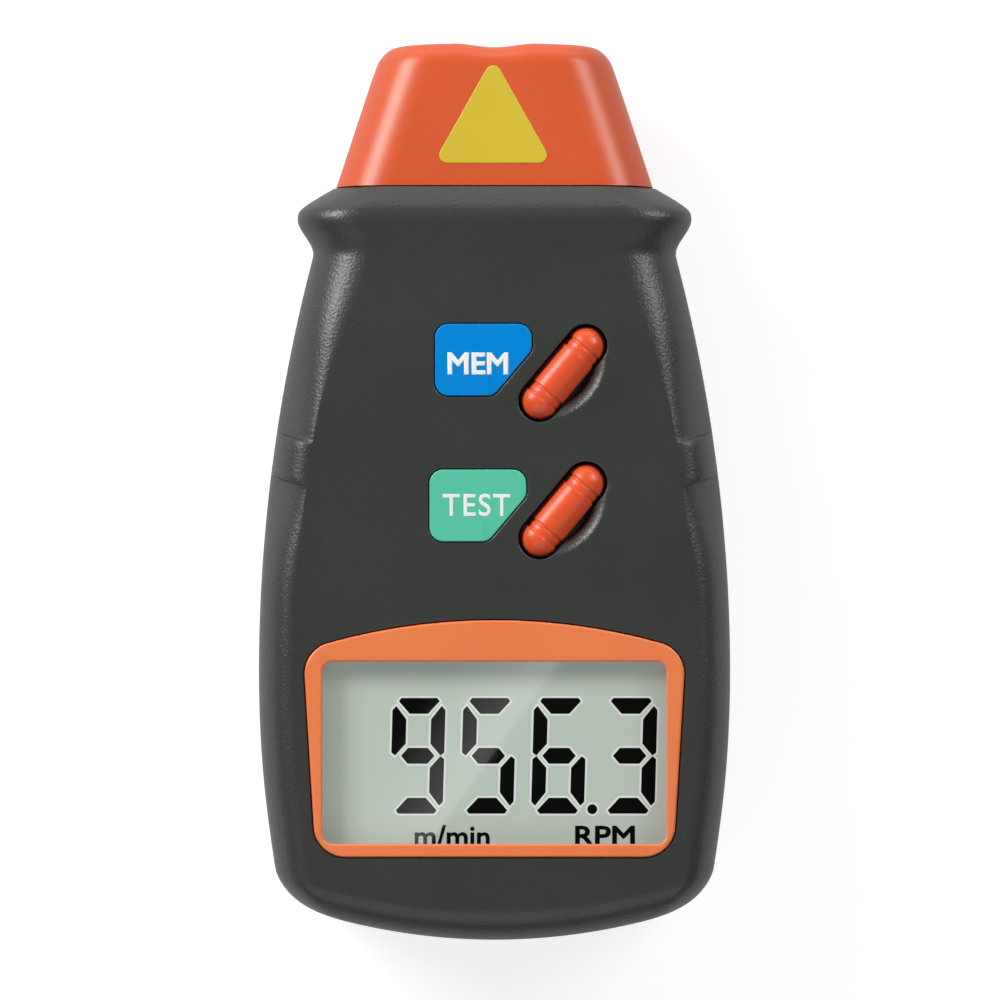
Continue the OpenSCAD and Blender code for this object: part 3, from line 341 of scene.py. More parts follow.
def recess(outline, floor, out, place=(0, 0)):
    """Cutter for a recess in the face: straight walls that flare in a quarter round at the rim."""
    turn = np.linspace(0, np.pi / 2, 7)
    flare = [(out + RIM * (1 - np.cos(a)), FACE_Z - RIM + RIM * np.sin(a)) for a in turn]
    return profiled(outline, [(out, floor), *flare, (out + RIM, FACE_Z + OVER)], place)


def bar(outline, low, high, height):
    """Straight-sided solid along Y over an outline in X and Z, about a height."""
    points, faces = prism(outline, low, high)
    return points[:, [0, 2, 1]] + [0, 0, height], faces


def rectangle(width, height, radius, steps=10):
    """Rounded rectangle about the origin."""
    x, y = width / 2, height / 2
    return rounded([(-x, -y), (x, -y), (x, y), (-x, y)], radius, steps)


# %% [markdown]
# ## Outlines of the display and the plates
# The bezel has straight sides and an arched top, and each legend plate is a rounded block with one corner cut
# to clear its key. Their places come from the CAD boxes, so the cuts in the housing and the pieces that fill
# them can't drift apart.

# %% Display and plate outlines
FIT = 0.15
WINDOW_CATCH = 0.6
window = part["display_window"]
WINDOW_AT = window.mean(axis=0)[:2]
WINDOW_W, WINDOW_H = np.ptp(window, axis=0)[:2] - 2 * WINDOW_CATCH
WINDOW_R, LEDGE_IN, LEDGE_T = 1.5, 0.2, 0.9
BEZEL_Z, BEZEL_TOP_Z = part["display_bezel"][:, 2]
LEDGE_Z = BEZEL_Z - LEDGE_T
SHOULDER_X, SHOULDER_Y, ARCH_Y, BEZEL_R = 27.7, 14.8, 19.2, 4.6
BEZEL_FOOT_X, BEZEL_FOOT_Y = 25.9, -15.1
PLATE_W, PLATE_H, PLATE_R, PLATE_CUT = 14.0, 10.4, 2.0, 6.6
KEY_TURN = np.radians(50)
arch_r = (SHOULDER_X ** 2 + (ARCH_Y - SHOULDER_Y) ** 2) / (2 * (ARCH_Y - SHOULDER_Y))
arch_turn = np.arcsin(SHOULDER_X / arch_r) * np.linspace(1, -1, 17)
arch = np.column_stack([arch_r * np.sin(arch_turn), ARCH_Y + arch_r * (np.cos(arch_turn) - 1)])
feet = [(-BEZEL_FOOT_X, BEZEL_FOOT_Y), (BEZEL_FOOT_X, BEZEL_FOOT_Y)]
bezel_outline = rounded(np.vstack([arch, feet]), BEZEL_R)
window_outline = rectangle(WINDOW_W, WINDOW_H, WINDOW_R)
plate_outline = rounded([
    (0, PLATE_CUT - PLATE_H / 2), (0, PLATE_H / 2), (-PLATE_W, PLATE_H / 2), (-PLATE_W, -PLATE_H / 2),
    (-PLATE_CUT / np.tan(KEY_TURN), -PLATE_H / 2),
], PLATE_R)
plate_at = {n: (part[n][1, 0], part[n][:, 1].mean()) for n in ("memory_plate", "test_plate")}
print("window opening in mm:", np.round([WINDOW_W, WINDOW_H], 2), "arch radius:", round(arch_r, 1))

# %% [markdown]
# ## Key pockets
# Each key lies in a pocket that follows its capsule, and one side of the pocket opens into a shallow round
# dish for the fingertip. Seen from the pocket's middle, every direction has one reach at each height, so the
# cutter is a stack of rings, and no separate dish has to be joined to a slot.

# %% Key pockets
KEY_L, KEY_D, KEY_GAP = 16.0, 5.6, 0.3
POCKET_DEPTH, POCKET_WALL = 3.0, 1.2
POCKET_Z = FACE_Z - POCKET_DEPTH
POCKET_UNDER = POCKET_Z - POCKET_WALL
DISH_REACH, DISH_R, DISH_SLOPE, DISH_ROLL = 5.3, 9.15, 2.0, 1.1
STEM_L, STEM_W = 10.0, 3.6
SLACK = 1e-3
key_at = {n: part[n].mean(axis=0)[:2] for n in ("memory_key", "test_key")}


def turned(points, place):
    """Points laid along a key's axis: turned by the keys' angle and moved to the key's place."""
    c, s = np.cos(KEY_TURN), np.sin(KEY_TURN)
    x, y = points[..., 0], points[..., 1]
    return np.stack([place[0] + c * x - s * y, place[1] + s * x + c * y, points[..., 2]], axis=-1)


def stadium_reach(angle, length, width):
    """Distance from a stadium's middle to its edge: a straight side, or the round end further along."""
    c, s = np.abs(np.cos(angle)), np.abs(np.sin(angle))
    half, straight = width / 2, (length - width) / 2
    end = straight * c + np.sqrt(np.clip(half ** 2 - (straight * s) ** 2, 0, None))
    return np.where(half * c <= straight * s, half / np.maximum(s, 1e-9), end)


def stadium(length, width):
    """Outline of a stadium about the origin."""
    angle = np.linspace(0, 2 * np.pi, 96, endpoint=False)
    reach = stadium_reach(angle, length, width)
    return np.column_stack([reach * np.cos(angle), reach * np.sin(angle)])


def circle(diameter):
    """Outline of a circle about the origin: a stadium with next to no straight side."""
    return stadium(diameter, diameter - SLACK)


def pocket_heights():
    """Heights of a pocket's rings: even up to the rim, then along the rim's round, then past the face."""
    wall = np.linspace(0, 1, 13) * (FACE_Z - RIM - POCKET_Z) + POCKET_Z
    rim = FACE_Z - RIM + RIM * np.sin(np.linspace(0, np.pi / 2, 7))[1:]
    return np.concatenate([wall, rim, [FACE_Z + OVER]])[:, None]


def pocket(place):
    """Cutter for a key pocket: at each height the reach is the stadium's or, below the axis, the dish's."""
    angle = np.linspace(0, 2 * np.pi, 240, endpoint=False)[None, :]
    depth = pocket_heights()
    up = np.clip(depth, None, FACE_Z)
    flare = RIM * (1 - np.sqrt(np.clip(1 - np.clip((up - FACE_Z + RIM) / RIM, 0, 1) ** 2, 0, 1)))
    radius = DISH_R - DISH_SLOPE * (1 - np.exp((up - FACE_Z) / DISH_ROLL))
    offset = (DISH_R - DISH_REACH) * np.sin(angle)
    dish = offset + np.sqrt(np.clip(offset ** 2 - (DISH_R - DISH_REACH) ** 2 + radius ** 2, 0, None))
    straight = stadium_reach(angle, KEY_L + 2 * KEY_GAP, KEY_D + 2 * KEY_GAP) + 0 * depth
    reach = np.where(np.sin(angle) < 0, np.maximum(straight, dish), straight) + flare
    rings = np.stack([reach * np.cos(angle), reach * np.sin(angle), depth + 0 * angle], axis=-1)
    caps = [at_height(np.zeros_like(rings[:1]), rings[end, 0, 2]) for end in (0, -1)]
    return sheet(turned(np.concatenate([caps[0], rings, caps[1]]), place), wrap=True)


def stem_slot(place):
    """Cutter for the slot in a pocket's floor, through which the key's stem passes."""
    slot = stadium(STEM_L + 2 * KEY_GAP, STEM_W + 2 * KEY_GAP)
    points, faces = prism(slot, POCKET_UNDER - OVER, POCKET_Z + OVER)
    return turned(points, place), faces


print("pocket floor below the face in mm:", POCKET_DEPTH)

# %% [markdown]
# ## Front housing
# The front half is one moulding: a hollow shell with openings for the display, plates, keys and nose. It
# could be modelled wall by wall. Lofting the outside and taking the inside and each opening out is shorter,
# and every wall gets its thickness from two surfaces that follow the same rules. Its lower edge stops a
# little above the rear half, which leaves the fine parting line that such cases show.

# %% Front shell
WALL, INNER_START = 2.0, 2.1
LCD_SPACE, LCD_SPACE_R, LCD_SPACE_LOW = (56.0, 33.0), 1.0, 4.0
SPIGOT_W, SPIGOT_H, SPIGOT_R = 39.0, 14.4, 3.0
INNER_END_D = BODY_L - WALL
PARTING = 0.15
stations = np.unique(np.concatenate([
    FOOT_ROUND * (1 - np.cos(np.linspace(0, np.pi / 2, 24))), np.linspace(FOOT_ROUND, REST_LOW, 64),
    np.linspace(REST_LOW, REST_LOW + LIP_RUN, 9), np.linspace(REST_LOW + LIP_RUN, REST_HIGH - LIP_RUN, 8),
    np.linspace(REST_HIGH - LIP_RUN, REST_HIGH, 9), np.linspace(REST_HIGH, BEAD_D, 40),
    np.linspace(BEAD_D, BODY_L, 44)]))
upper, flat = body_sheet(stations, 0, True, 22, 60)
front = mesh_object("front_housing", closed_loft(upper, at_height(flat, PART_Z + PARTING)))
roof, under = body_sheet(np.linspace(INNER_START, INNER_END_D, 60), WALL, False, 8, 20)
roof[..., 2] = np.minimum(roof[..., 2], POCKET_UNDER)
nose_opening = rectangle(SPIGOT_W, SPIGOT_H, SPIGOT_R)
carved(
    front,
    closed_loft(roof, at_height(under, PART_Z - OVER)),
    prism(rectangle(*LCD_SPACE, LCD_SPACE_R), PART_Z + LCD_SPACE_LOW, LEDGE_Z, WINDOW_AT),
    recess(bezel_outline, BEZEL_Z, FIT, WINDOW_AT),
    prism(window_outline, LEDGE_Z - OVER, BEZEL_Z + OVER, WINDOW_AT, LEDGE_IN),
    *[recess(plate_outline, part[n][0, 2], FIT, plate_at[n]) for n in plate_at],
    *[pocket(place) for place in key_at.values()],
    *[stem_slot(place) for place in key_at.values()],
    bar(nose_opening, END_Y + INNER_END_D - OVER, END_Y + BODY_L + OVER, PART_Z),
)
smoothed(front)
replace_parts(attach(front, "case"), "front_shell")
print("front housing faces:", len(front.data.polygons))

# %% [markdown]
# ## The nose
# The orange nose is a hollow moulding that tapers to a rounded tip with a shallow saddle between its two
# optical ports. It is one more loft: a rounded section that shrinks along the length, with the tip's round
# taken from the same quarter-circle rule as the body's bottom end.

# %% Nose cap
SEAM = 0.2
NOSE_D = BODY_L + SEAM
NOSE_BASE, NOSE_TIP = (23.3, 10.4), (16.4, 8.2)
NOSE_EDGE, NOSE_SIDE, NOSE_BOW, NOSE_WALL = 8.0, 0.5, 0.4, 2.0
TIP_ROUND, TIP_CORNER, TIP_DROP = 3.0, 2.2, 3.4
SADDLE_HALF, SADDLE_DEPTH, SADDLE_BLEND = 6.2, 0.6, 7.0
PORTS = {-6.6: 10.0, 7.4: 5.0}
PORT_DEPTH = 4.0


def nose_size(d):
    """Half width and half depth of the nose: straight tapers from base to tip."""
    share = (d - BODY_L) / (TOTAL_L - BODY_L)
    return [low + (high - low) * share for low, high in zip(NOSE_BASE, NOSE_TIP)]


def nose_sheets(d, inset, steps, across):
    """Front and back of the nose: tapered half sizes with round edges, a round tip and its saddle."""
    d = d[:, None]
    turn, side = section(steps, across)
    gone = lost(TOTAL_L - inset - d, TIP_ROUND - inset / 2)
    width, height = nose_size(d)
    width = width - inset - (TIP_CORNER - inset / 2) * gone
    height = height - inset - (TIP_DROP - inset / 2) * gone
    edge = np.minimum(NOSE_EDGE - inset / 2, height - NOSE_SIDE)
    x = side * (width - edge * (1 - np.cos(turn)))
    z = height - edge * (1 - np.sin(turn))
    bow = NOSE_BOW * (1 - rise((TOTAL_L - d) / TIP_ROUND / 2)) * (x / width) ** 2
    saddle = SADDLE_DEPTH * rise(1 - np.abs(x) / SADDLE_HALF)
    y = END_Y + d - bow - saddle * rise(1 - (TOTAL_L - inset - d) / SADDLE_BLEND)
    return [np.stack([x, y, PART_Z + z * face], -1) for face in (1, -1)]


def port(x, diameter):
    """Cutter for a round port through the tip."""
    return bar(circle(diameter + 2 * FIT) + [x, 0], -END_Y - PORT_DEPTH, -END_Y + OVER, PART_Z)


tip = TOTAL_L - TIP_ROUND * (1 - np.sin(np.linspace(0, np.pi / 2, 20)))
nose_stations = np.concatenate([np.linspace(NOSE_D, TOTAL_L - TIP_ROUND, 40)[:-1], tip])
nose = mesh_object("nose", closed_loft(*nose_sheets(nose_stations, 0, 20, 60)))
hollow = np.linspace(NOSE_D + NOSE_WALL, TOTAL_L - NOSE_WALL, 24)
carved(nose, closed_loft(*nose_sheets(hollow, NOSE_WALL, 8, 20)), *[port(x, d) for x, d in PORTS.items()])
smoothed(nose)
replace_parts(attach(nose, "case"), "nose_cap")
print("nose faces:", len(nose.data.polygons))

# %% [markdown]
# ## Bezel
# The orange bezel is a thin frame with an arched top. Its section is carried round two outlines at once:
# rows that belong to the outer edge follow the arch, rows of the inner edge follow the window. Both outlines
# are read at the same angles, so the rows match point for point, and its edges get a real small round.

# %% Display bezel
BEZEL_EDGE = 0.35


def at_angles(outline, angle):
    """Points of an outline seen from its middle at given angles, interpolated between its own points."""
    own = np.arctan2(outline[:, 1], outline[:, 0])
    return np.column_stack([np.interp(angle, own, outline[:, i], period=2 * np.pi) for i in (0, 1)])


def frame_ring(outer, inner, low, high, edge):
    """Closed frame between two outlines: up the outer wall, over its round, across, and down inside."""
    angles = [np.arctan2(outline[:, 1], outline[:, 0]) for outline in (outer, inner)]
    angle = np.unique(np.round(np.concatenate(angles), 5))
    outer, inner = at_angles(outer, angle), at_angles(inner, angle)
    outside = top_round(high, edge, 7)
    rows = [(outer, 0, low)] + [(outer, out, z) for out, z in outside]
    rows += [(inner, -out, z) for out, z in outside[::-1]] + [(inner, 0, low), (outer, 0, low)]
    rings = [np.column_stack([mitred(o, out), np.full(len(angle), z)]) for o, out, z in rows]
    return sheet(np.stack(rings), wrap=True)


points, faces = frame_ring(bezel_outline, window_outline, BEZEL_Z, BEZEL_TOP_Z, BEZEL_EDGE)
seat = prism(window_outline, BEZEL_Z - OVER, window[1, 2] + FIT, WINDOW_AT, WINDOW_CATCH + FIT)
bezel = carved(mesh_object("bezel", (points + np.append(WINDOW_AT, 0), faces)), seat)
smoothed(bezel)
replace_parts(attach(bezel, "case"), "display_bezel")
print("bezel faces:", len(bezel.data.polygons))

# %% [markdown]
# ## Keys
# Each key is a capsule lying aslant in its pocket, with two fine grooves near each end. A surface of
# revolution does it: the radius is a function of the place along the axis, with the grooves taken off as
# narrow bells, and the underside is pressed flat where the key's foot stops above the pocket floor.

# %% Keys
GROOVE_W, GROOVE_DEPTH, GROOVE_IN, GROOVE_PITCH = 0.22, 0.2, 3.2, 1.2
BAND_DEPTH, BAND_EDGE = 0.15, 0.3
FOOT_RISE = 0.8
KEY_FOOT_Z = POCKET_Z + FOOT_RISE
FLANGE_OUT, FLANGE_T = 1.0, 0.7
KEY_SHARP = 40


def key_radius(along):
    """Radius along a key: a capsule's, less a bell for each groove and a shallow band between a pair."""
    beyond = np.clip(np.abs(along) - (KEY_L - KEY_D) / 2, 0, KEY_D / 2)
    radius = np.sqrt(np.clip((KEY_D / 2) ** 2 - beyond ** 2, 0, None))
    from_end = KEY_L / 2 - np.abs(along)
    for groove in (GROOVE_IN, GROOVE_IN + GROOVE_PITCH):
        radius = radius - GROOVE_DEPTH * np.exp(-((from_end - groove) / GROOVE_W) ** 4)
    starts = rise((from_end - GROOVE_IN) / BAND_EDGE)
    band = starts * rise((GROOVE_IN + GROOVE_PITCH - from_end) / BAND_EDGE)
    return np.clip(radius - BAND_DEPTH * band, 0, None)


def key_solid(place, low, high):
    """A key's radius turned about its axis, on a stem with a flange."""
    straight = (KEY_L - KEY_D) / 2
    cap = np.sin(np.linspace(0, np.pi / 2, 24)) * KEY_D / 2
    middle = np.linspace(-straight, straight, 260)[1:-1]
    along = np.concatenate([-straight - cap[::-1], middle, straight + cap])
    angle = np.linspace(0, 2 * np.pi, 72, endpoint=False)[None, :]
    x, r = along[:, None] + 0 * angle, key_radius(along)[:, None]
    z = np.maximum(high - KEY_D / 2 + r * np.cos(angle), KEY_FOOT_Z)
    capsule = sheet(turned(np.stack([x, r * np.sin(angle), z], axis=-1), place), wrap=True)
    stem = [(FLANGE_OUT, low), (FLANGE_OUT, low + FLANGE_T), (0, low + FLANGE_T), (0, KEY_FOOT_Z)]
    points, faces = profiled(stadium(STEM_L, STEM_W), stem)
    return joined(capsule, (turned(points, place), faces))


caps = {}
for name, place in key_at.items():
    key = mesh_object(name + "_cap", key_solid(place, *part[name][:, 2]))
    smoothed(key, KEY_SHARP)
    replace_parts(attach(key, name), name)
    caps[name] = key
    print(name, "faces:", len(key.data.polygons))

# %% [markdown]
# ## Legend plates and the bare plate on the nose
# The two coloured plates are inlays with a soft top edge. The nose carries a small yellow plate, left bare.
# The nose's front slopes towards the tip, so that plate is made flat and then laid on the slope.

# %% Plates
PLATE_EDGE = 0.18
NOSE_PLATE = [(-8.9, 47.6), (8.5, 47.6), (-0.2, 63.2)]
NOSE_PLATE_R, NOSE_PLATE_T = 1.2, 0.12


def soft_plate(outline, low, high, edge, place=(0, 0)):
    """Plate with a quarter round along its top edge."""
    return profiled(outline, [(0, low)] + top_round(high, edge, 6), place)


inlays = {}
for name, place in plate_at.items():
    plate = mesh_object(name + "_inlay", soft_plate(plate_outline, *part[name][:, 2], PLATE_EDGE, place))
    smoothed(plate)
    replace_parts(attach(plate, "case"), name)
    inlays[name] = plate

points, faces = soft_plate(rounded(NOSE_PLATE, NOSE_PLATE_R), -NOSE_PLATE_T, NOSE_PLATE_T, NOSE_PLATE_T)
points[:, 2] += PART_Z + nose_size(points[:, 1] - END_Y)[1]
nose_plate = smoothed(mesh_object("nose_plate", (points, faces)))
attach(nose_plate, "case")
print("plates:", len(inlays) + 1)

# %% [markdown]
# ## The reading
# The liquid crystal panel shows four digits of seven segments. One digit's segments are corners of a cell;
# the upper half gives the lower half by mirroring. A pale margin surrounds each dark segment, as the panel's
# clear electrode gaps do.

# %% Segments
LCD_Z = part["lcd_panel"][1, 2]
CELL_W, CELL_H, CELL_PITCH = 7.7, 16.8, 10.26
FIRST_X, CELL_Y = -15.0, -46.95
BAR_V, BAR_H, BAR_TIP, CHAMFER, TIP_SKEW = 2.05, 2.3, 0.88, 0.47, 0.8
POINT, INNER_DROP, CELL_GAP = 0.55, 0.8, 0.05
MIDDLE_TIP, MIDDLE_IN = 1.42, 2.4
LEAN = np.tan(np.radians(1.6))
SHOWN = {"9": "abcdfg", "5": "acdfg", "6": "acdefg", "3": "abcdg"}
READING = "9563"
DOT_AT, DOT_R = (14.2, -46.3), 0.72
INK_T, MARGIN, MARGIN_T = 0.04, 0.28, 0.02


def segments():
    """Corners of the seven segments in a cell, named a to g clockwise from the top with g in the middle."""
    w, h, m = CELL_W, CELL_H, CELL_H / 2
    half = [(BAR_TIP + TIP_SKEW * CHAMFER, h), (BAR_TIP, h - CHAMFER), (BAR_V + CHAMFER, h - BAR_H)]
    top = np.array(half + [(w - x, y) for x, y in half[::-1]])
    left = np.array([
        (0, h - BAR_H + POINT), (0, m + CHAMFER), (POINT, m + CELL_GAP), (BAR_V, m + BAR_H - POINT),
        (BAR_V, h - BAR_H - INNER_DROP), (POINT, h - BAR_H / 2)])
    half = [(MIDDLE_IN, m + BAR_H / 2), (MIDDLE_TIP, m), (MIDDLE_IN, m - BAR_H / 2)]
    middle = np.array(half + [(w - x, y) for x, y in half[::-1]])
    across = lambda p: (p * [-1, 1] + [w, 0])[::-1]
    down = lambda p: (p * [1, -1] + [0, h])[::-1]
    return {"a": top, "b": across(left), "c": down(across(left)), "d": down(top), "e": down(left),
            "f": left, "g": middle}


def leaned(outline, cell):
    """A cell's outline at its place on the panel, leaning a little to the right."""
    lean = np.outer(outline[:, 1] - CELL_H / 2, [LEAN, 0])
    return outline + [FIRST_X + cell * CELL_PITCH, CELL_Y] + lean


shapes = segments()
dark = [leaned(shapes[s], cell) for cell, digit in enumerate(READING) for s in SHOWN[digit]]
dark.append(circle(2 * DOT_R) + DOT_AT)
reading = mesh_object("reading", joined(*[prism(o, LCD_Z, LCD_Z + INK_T) for o in dark]))
pale = [prism(o, LCD_Z, LCD_Z + MARGIN_T, out=MARGIN) for o in dark]
margin = mesh_object("reading_margin", joined(*pale))
for piece in (reading, margin):
    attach(piece, "case")
print("segments and the dot:", len(dark))

# %% [markdown]
# ## Lettering
# Generic words only: the two keys' functions and the units of the reading. Text objects are turned into
# meshes and fitted to the box that each word fills, so no font size has to be guessed.

# %% Lettering
INK, EXTRUDE = 0.03, 0.01
PLATE_TOP = part["memory_plate"][1, 2]
WORDS = [
    ("memory_word", "MEM", (-6.8, 16.75), (2.0, 19.95), PLATE_TOP, 0.03, 1.0),
    ("test_word", "TEST", (-7.5, -3.75), (2.3, -0.5), PLATE_TOP, 0.012, 1.12),
    ("speed_unit", "m/min", (-11.6, -51.9), (-0.7, -48.6), LCD_Z, 0.02, 1.0),
    ("turns_unit", "RPM", (11.7, -51.7), (20.4, -48.7), LCD_Z, 0.024, 1.0),
]


def lettering(name, text, low, high, z, bold, spacing):
    """A word as a thin mesh that fills the box from low to high, in millimetres, on a surface at z."""
    curve = bpy.data.curves.new(name, "FONT")
    curve.body, curve.space_character, curve.resolution_u = text, spacing, 6
    curve.extrude, curve.bevel_depth, curve.bevel_resolution = EXTRUDE, bold, 0
    piece = bpy.data.objects.new(name, curve)
    bpy.context.scene.collection.objects.link(piece)
    mesh = bpy.data.meshes.new_from_object(piece.evaluated_get(bpy.context.evaluated_depsgraph_get()))
    bpy.data.objects.remove(piece)
    points = np.empty(len(mesh.vertices) * 3)
    mesh.vertices.foreach_get("co", points)
    points = points.reshape(-1, 3)
    least, size = points.min(axis=0), np.ptp(points, axis=0)
    target = np.array([(*low, z - INK / 4), (*high, z + INK)])
    points = (target[0] + (points - least) / size * np.ptp(target, axis=0)) * MM
    mesh.vertices.foreach_set("co", points.ravel())
    word = bpy.data.objects.new(name, mesh)
    bpy.context.scene.collection.objects.link(word)
    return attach(word, "case")


words = {word[0]: lettering(*word) for word in WORDS}
print("words:", list(words))

# %% [markdown]
# ## Writing finishes
# A finish is a small node tree. Writing its maths as Python expressions keeps it readable, so one class wraps
# a socket and turns arithmetic into Math nodes, and one method adds any other node.

# %% Socket wrapper


class Value:
    """An output socket; sums, differences, products and powers of it add Math nodes."""

    def __init__(self, tree, socket):
        self.tree, self.socket = tree, socket

    def math(self, operation, first, second):
        return self.tree.node("ShaderNodeMath", {"operation": operation}, {0: first, 1: second})

    def __add__(self, other):
        return self.math("ADD", self, other)

    def __sub__(self, other):
        return self.math("SUBTRACT", self, other)

    def __rsub__(self, other):
        return self.math("SUBTRACT", other, self)

    def __mul__(self, other):
        return self.math("MULTIPLY", self, other)

    def __pow__(self, other):
        return self.math("POWER", self, other)

    __radd__ = __add__
    __rmul__ = __mul__


class Tree:
    """A node tree of a material or a world."""

    def __init__(self, owner):
        owner.use_nodes = True
        self.tree = owner.node_tree

    def set(self, node, inputs):
        """Values go on sockets; a wrapped socket is linked."""
        for name, value in inputs.items():
            socket = node.inputs[name]
            if isinstance(value, Value):
                self.tree.links.new(value.socket, socket)
            else:
                socket.default_value = value
        return node

    def node(self, kind, settings=None, inputs=None, output=0):
        """Any node: its type, its settings, its sockets' values or links, and the output that is wanted."""
        node = self.tree.nodes.new(kind)
        for name, value in (settings or {}).items():
            setattr(node, name, value)
        self.set(node, inputs or {})
        return Value(self, node.outputs[output])

    def other(self, value, output):
        """Another output of the node that gave a value."""
        return Value(self, value.socket.node.outputs[output])


# %% [markdown]
# ## What a finish can do
# Every finish starts from the Principled shader, which covers plastic, lacquer and metal. A few methods add
# what they share: noise in the piece's own coordinates, a blend of two colours, and a bump for fine grain.
# Object coordinates keep the grain on the piece when it moves.

# %% Finish


class Finish(Tree):
    """A material with a Principled shader, whose inputs are set by name to numbers, colours or values."""

    def __init__(self, name, **inputs):
        self.material = bpy.data.materials.new(name)
        super().__init__(self.material)
        self.shader = self.tree.nodes["Principled BSDF"]
        self.set(self.shader, inputs)

    def surface(self, value):
        """Another shader in place of the Principled one."""
        self.set(self.tree.nodes["Material Output"], {"Surface": value})
        return self

    def object_place(self):
        """The point on the piece, in the piece's own coordinates."""
        return self.node("ShaderNodeTexCoord", output="Object")

    def noise(self, per_metre, detail):
        """Noise over the piece, with a grain given as waves in a metre; the value stays round one half."""
        sockets = {"Vector": self.object_place(), "Scale": per_metre, "Detail": detail, "Roughness": 0.5}
        return self.node("ShaderNodeTexNoise", {}, sockets)

    def between(self, low, high, share):
        """Colour between two others."""
        kind = {"data_type": "RGBA"}
        return self.node("ShaderNodeMix", kind, {0: share, 6: low, 7: high}, output=2)

    def bump(self, height, strength, reach):
        """Normal raised by a height, with reach in metres."""
        return self.node("ShaderNodeBump", {}, {"Height": height, "Strength": strength, "Distance": reach})

    def dress(self, *pieces):
        """Puts the finish on pieces or CAD nodes."""
        for piece in pieces:
            piece.data.materials.clear()
            piece.data.materials.append(self.material)
        return self


def colour(text, scale=1.0):
    """Scene colour from a screen colour such as #3f4240, by the sRGB curve."""
    value = np.array([int(text[i:i + 2], 16) for i in (1, 3, 5)]) / 255
    linear = np.where(value <= 0.04045, value / 12.92, ((value + 0.055) / 1.055) ** 2.4)
    return (*np.clip(linear * scale, 0, 1), 1.0)


# %% [markdown]
# ## Plastics outside
# The case is textured grey, and the nose, bezel and keys are satin orange. All are moulded plastic, so one
# recipe with a fine grain, a slow drift of tone and a roughness that varies serves them, with the numbers
# that tell them apart. The display panel and its pale margins carry a faint painted glow, which lifts the
# shade that the bezel casts into the display's recess.

# %% Moulded plastics
DRIFT_WAVES = 90.0
GRAIN_SHINE, DRIFT_SHINE, BUMP_STRENGTH = 0.12, 0.06, 0.35
# Strength of the painted glow on the display panel, which lifts the shade that the bezel casts on it.
PANEL_PAINTED_GLOW = 0.27
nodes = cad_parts


def moulded(name, screen, rough, grain, grain_depth, drift=0.12, **inputs):
    """Moulded plastic: fine grain in the normal, slow drift in colour, and roughness that follows both."""
    finish = Finish(name, **inputs)
    fine = finish.noise(grain, 2.0)
    slow = finish.noise(DRIFT_WAVES, 3.0)
    tone = finish.between(colour(screen, 1 - drift), colour(screen, 1 + drift), slow)
    finish.set(finish.shader, {
        "Base Color": tone,
        "Roughness": rough + GRAIN_SHINE * (fine - 0.5) + DRIFT_SHINE * (slow - 0.5),
        "Normal": finish.bump(fine, BUMP_STRENGTH, grain_depth),
    })
    return finish


def specular(level):
    """Setting for a surface that mirrors less than usual."""
    return {"Specular IOR Level": level}


def painted_glow(screen):
    """Setting for a painted glow on the display panel, which lifts the shade in its recess."""
    return {"Emission Color": colour(screen), "Emission Strength": PANEL_PAINTED_GLOW}


OUTSIDE = [
    (("case_grey", "#393b39", 0.36, 2400.0, 0.0002, 0.12), {},
     (front, nodes["rear_shell"], nodes["battery_door"])),
    (("nose_orange", "#d5592f", 0.37, 1800.0, 0.00002, 0.05), {}, (nose,)),
    (("bezel_orange", "#f0824e", 0.36, 1800.0, 0.00002, 0.05), {}, (bezel,)),
    (("key_orange", "#e8572d", 0.36, 1500.0, 0.00002, 0.06), {}, caps.values()),
    (("plate_blue", "#0087d9", 0.35, 2000.0, 0.00002, 0.05), specular(0.25), (inlays["memory_plate"],)),
    (("plate_green", "#5bc8a8", 0.35, 2000.0, 0.00002, 0.05), {}, (inlays["test_plate"],)),
    (("plate_yellow", "#d2b935", 0.4, 1500.0, 0.00002, 0.06), {}, (nose_plate,)),
    (("ink_white", "#f2f2f0", 0.5, 2500.0, 0.00001, 0.03), {}, (words["memory_word"], words["test_word"])),
    (("ink_dark", "#080908", 0.6, 2500.0, 0.00001, 0.03), specular(0.05),
     (reading, words["speed_unit"], words["turns_unit"])),
    # The panel's margins and the panel itself carry a painted glow that lifts the shade in the display's
    # recess.
    (("panel_margin", "#d8ded8", 0.4, 2500.0, 0.00001, 0.02), painted_glow("#d8ded8"), (margin,)),
    (("panel_grey", "#b0bcb1", 0.35, 900.0, 0.00001, 0.02), painted_glow("#c6d2c7"), (nodes["lcd_panel"],)),
]
for recipe, extra, pieces in OUTSIDE:
    moulded(*recipe, **extra).dress(*pieces)
print("outer plastics:", len(OUTSIDE))

# %% [markdown]
# ## Plastics inside
# Behind the case are switches, wires, foam and sleeves. They show when the battery door is off or through the
# ports, so they get the same recipe with plain colours, and a table is enough.

